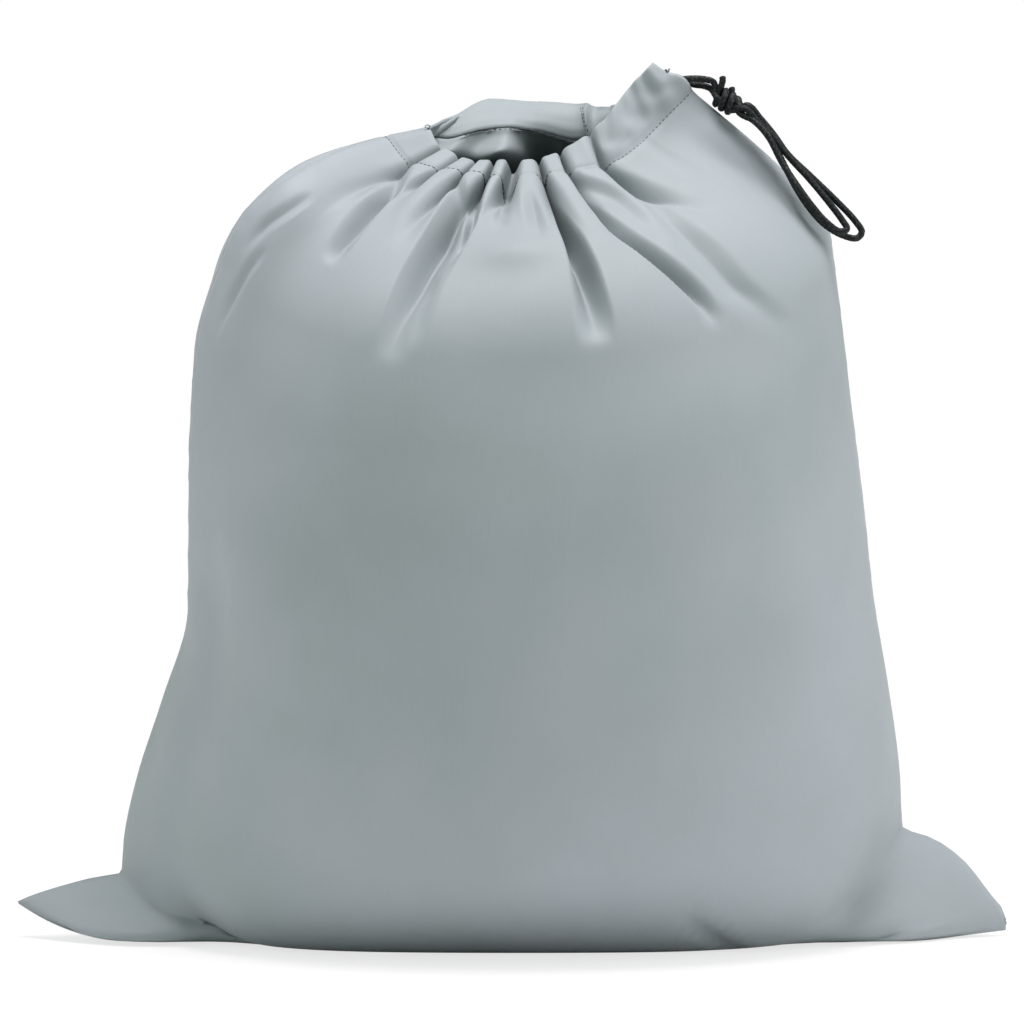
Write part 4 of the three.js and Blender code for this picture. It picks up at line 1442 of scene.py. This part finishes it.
@dataclass(frozen=True)
class Knot:
    """An overhand knot in the doubled cord: two free ends wound round the four strands that go through it."""

    centre: Triple = (0.1058, -0.0044, 0.4186)
    axis: Triple = (0.88, -0.04, -0.47)
    turn_radius: float = 0.0044
    core_radius: float = 0.0017
    core_ends: Pair = (-0.0035, 0.0050)
    core_spread: Pair = (1.0, 1.8)
    wound_points: int = 14

    def at(self, along: Array | tuple, angle: Array, radius: Array) -> Array:
        """Points about the knot's axis.

        Args:
            along: distances along the axis, metres.
            angle: degrees from the top, over the front.
            radius: distances from the axis.

        Returns:
            The points.
        """
        axis = unit(np.array(self.axis))
        front = unit(np.cross(axis, (axis[2], 0.0, -axis[0])))
        top = np.cross(front, axis)
        turn = np.radians(np.asarray(angle, float))[..., None]
        away = np.cos(turn) * top + np.sin(turn) * front
        along, radius = (np.asarray(value, float)[..., None] for value in (along, radius))
        return np.array(self.centre) + along * axis + radius * away

    def core(self, angle: float) -> Array:
        """Two points of a strand that goes straight through and spreads as it leaves."""
        return self.at(self.core_ends, np.full(2, angle), self.core_radius * np.array(self.core_spread))

    def wound(self, start: float, end: float, first: float, last: float) -> Array:
        """A helix round the core.

        Args:
            start: its first distance along the axis.
            end: its last one.
            first: its first angle, in degrees.
            last: its last one.

        Returns:
            Points along it.
        """
        share = np.linspace(0.0, 1.0, self.wound_points)
        radius = np.full(share.shape, self.turn_radius)
        return self.at(mix(start, end, share), mix(first, last, share), radius)


@dataclass(frozen=True)
class Braid:
    """A round braided cord: a tube whose skin rises where its strands cross over."""

    diameter: float = 0.0032
    strands: int = 8
    pitch: float = 0.0046
    relief: float = 0.00022
    skin: float = 0.6
    rounding: float = 0.02
    around: int = 32
    step: float = 0.0004
    reference: Triple = (0.52, -0.80, -0.30)

    def along(self, path: Array) -> Surface:
        """The cord along a path, with its two ends cut square and rounded.

        Two families of strands wind opposite ways. Each rises by the absolute sine of its phase, and the
        one on top changes from crossing to crossing. Within a radius of an end the cord thins by the root
        of one less the fourth power of the share still to go.

        Args:
            path: points along the cord, a step apart.

        Returns:
            The surface.
        """
        radius = self.diameter / 2
        run = arc_lengths(path)[:, None]
        turn = np.linspace(0.0, self.strands, self.around, endpoint=False)
        right = np.sin(math.pi * (turn / 2 + run / self.pitch * 2))
        left = np.sin(math.pi * (turn / 2 - run / self.pitch * 2))
        height = np.where(right * left > 0, np.abs(right), np.abs(left))
        end = np.clip(np.minimum(run, run[-1] - run) / radius, 0.0, 1.0)
        taper = np.sqrt(np.clip(1.0 - (1.0 - end) ** 4, self.rounding, 1.0))
        skin = (radius + self.relief * (height - self.skin)) * taper
        return tubes(path[None], np.array(self.reference), skin, self.around)


@dataclass
class Drawcord:
    """The braided cord of one casing: its route's points, and the model's nodes that it stands for."""

    name: str
    points: Array
    nodes: tuple[str, ...]
    braid: Braid = Braid()
    route_every: int = 6

    def build(self, finish: Material) -> Piece:
        """Args:
            finish: the cord's material.

        Returns:
            The piece.
        """
        path = through(self.points, self.braid.step)
        piece = self.braid.along(path).to_object(self.name)
        dress(piece, finish, self.nodes)
        tuple(self.points[0])
        float(arc_lengths(path)[-1])
        return piece


def drawcords(knot: Knot) -> list[Drawcord]:
    """The cords: out of the casing, through the knot, round a loop, back round the knot and out of it.

    Args:
        knot: the knot.

    Returns:
        The front cord and the back one.
    """
    turns = (
        knot.wound(start=0.0020, end=-0.0034, first=180.0, last=-330.0),
        knot.wound(start=0.0052, end=0.0006, first=150.0, last=-335.0),
    )
    front = np.vstack([FRONT_STRAND, knot.core(angle=30.0), OUTER_LOOP, turns[0], FRONT_END])
    back = np.vstack([BACK_STRAND, knot.core(angle=300.0), INNER_LOOP, turns[1], BACK_END])
    front_nodes = ("cord_front_strand", "cord_outer_loop", "cord_front_end", "cord_knot")
    back_nodes = ("cord_back_strand", "cord_inner_loop", "cord_back_end")
    return [Drawcord("front_cord", front, front_nodes), Drawcord("back_cord", back, back_nodes)]


# --- The studio ---


@dataclass(frozen=True)
class Lamp:
    """A soft square lamp."""

    name: str
    place: Triple
    size: float
    power: float
    tint: Triple = (1.025, 0.960, 1.010)

    def build(self, target: Vector) -> None:
        """Puts the lamp into the scene.

        Args:
            target: the point that it is turned to.
        """
        light = bpy.data.lights.new(self.name, "AREA")
        light.energy = self.power
        light.color = self.tint
        light.size = self.size
        holder = bpy.data.objects.new(self.name, light)
        holder.location = self.place
        holder.visible_camera = False
        holder.rotation_euler = (target - Vector(self.place)).to_track_quat("-Z", "Y").to_euler()
        bpy.context.scene.collection.objects.link(holder)


@dataclass(frozen=True)
class Studio:
    """Camera, white floor, world and lamps."""

    distance: float = 2.6
    elevation: float = 4.0
    half_view: float = 0.256
    target_height: float = 0.2135
    sensor: float = 36.0
    floor_reach: float = 12.0
    ambient: float = 0.38
    ambient_tint: Colour = (0.91, 1.0, 0.98, 1.0)
    white: Colour = (1.0, 1.0, 1.0, 1.0)
    floor_shade: Colour = (0.95, 0.95, 0.95, 1.0)
    glow_places: Pair = (0.3, 0.95)
    glow_shares: Pair = (0.72, 1.0)
    lamps: tuple[Lamp, ...] = (
        Lamp("right", (2.1, -0.40, 0.9), 1.8, 25.5),
        Lamp("left", (-2.1, -0.30, 0.8), 1.8, 15.0),
        Lamp("top", (0.10, -0.24, 1.90), 0.9, 38.0),
    )

    def camera(self) -> None:
        """The camera, in front of the sack and a little above its middle."""
        scene = bpy.context.scene
        raised = math.radians(self.elevation)
        back = Vector((0.0, -math.cos(raised), math.sin(raised)))
        data = bpy.data.cameras.new("camera")
        data.sensor_width = self.sensor
        data.lens = self.sensor * self.distance / (2 * self.half_view)
        camera = bpy.data.objects.new("camera", data)
        camera.location = Vector((0.0, 0.0, self.target_height)) + back * self.distance
        camera.rotation_euler = (-back).to_track_quat("-Z", "Y").to_euler()
        scene.collection.objects.link(camera)
        scene.camera = camera

    def floor(self) -> None:
        """A plain pale floor that shows the sack's shadow near it and is white further out.

        The camera sees the floor's own glow by a share that rises with the distance from the middle.
        """
        bench = Bench.material("floor_finish")
        seen = Value(bench, bench.node("LightPath").outputs["Is Camera Ray"])
        away = bench.node("VectorMath", {"operation": "LENGTH"}, {0: bench.place("Object")}).outputs["Value"]
        share = seen * bench.ramp(Value(bench, away), self.glow_places, self.glow_shares)
        plain = bench.node("BsdfDiffuse", None, {"Color": self.floor_shade})
        glow = bench.node("Emission", None, {"Color": self.white, "Strength": 1.0})
        both = bench.node("MixShader", None, {0: share, 1: plain.outputs[0], 2: glow.outputs[0]})
        bench.node("OutputMaterial", None, {"Surface": both.outputs[0]})
        corners = self.floor_reach * np.array([[-1, -1, 0], [1, -1, 0], [1, 1, 0], [-1, 1, 0]])
        floor = Surface(corners, np.array([[0, 1, 2, 3]])).to_object("floor")
        floor.data.materials.append(bench.owner)

    def world(self) -> None:
        """A dim even world that the camera sees as white."""
        world = bpy.data.worlds.new("studio")
        bpy.context.scene.world = world
        bench = Bench(world)
        seen = bench.node("LightPath").outputs["Is Camera Ray"]
        dim = bench.node("Background", None, {"Color": self.ambient_tint, "Strength": self.ambient})
        white = bench.node("Background", None, {"Color": self.white, "Strength": 1.0})
        both = bench.node("MixShader", None, {0: seen, 1: dim.outputs[0], 2: white.outputs[0]})
        bench.node("OutputWorld", None, {"Surface": both.outputs[0]})

    def build(self) -> None:
        """Sets the whole studio up."""
        bpy.context.scene.view_settings.view_transform = "Standard"
        self.camera()
        self.floor()
        self.world()
        for lamp in self.lamps:
            lamp.build(Vector((0.0, 0.0, self.target_height)))


def main() -> None:
    """Builds the sack piece by piece."""
    logging.basicConfig(level=logging.INFO, format="%(name)s: %(message)s")
    Studio().build()
    braid = CordFinish().build("braided_cord")
    cloth = ClothFinish().build("satin_cloth")
    thread = ThreadFinish().build("sewing_thread")
    made = [cord.build(braid) for cord in drawcords(Knot())]
    shapes = (
        (Side.FRONT, FRONT_STATIONS, FRONT_GATHERS, FRONT_FOLDS, FRONT_PUSHES),
        (Side.BACK, BACK_STATIONS, BACK_GATHERS, BACK_FOLDS, BACK_PUSHES),
    )
    front, back = (Panel(*shape) for shape in shapes)
    made += [panel.build(cloth) for panel in (front, back)]
    made.append(Stitching().build("casing_stitches", [(panel, MOUTH_ROW) for panel in (front, back)], thread))
    made.append(Stitching().build("casing_join_stitches", [(back, row) for row in JOIN_ROWS], thread))
    made += [end.build(thread) for end in LOOSE_ENDS]
    for piece in made:
        LOG.info("%s: %d faces", piece.name, len(piece.data.polygons))


if __name__ == "__main__":
    main()
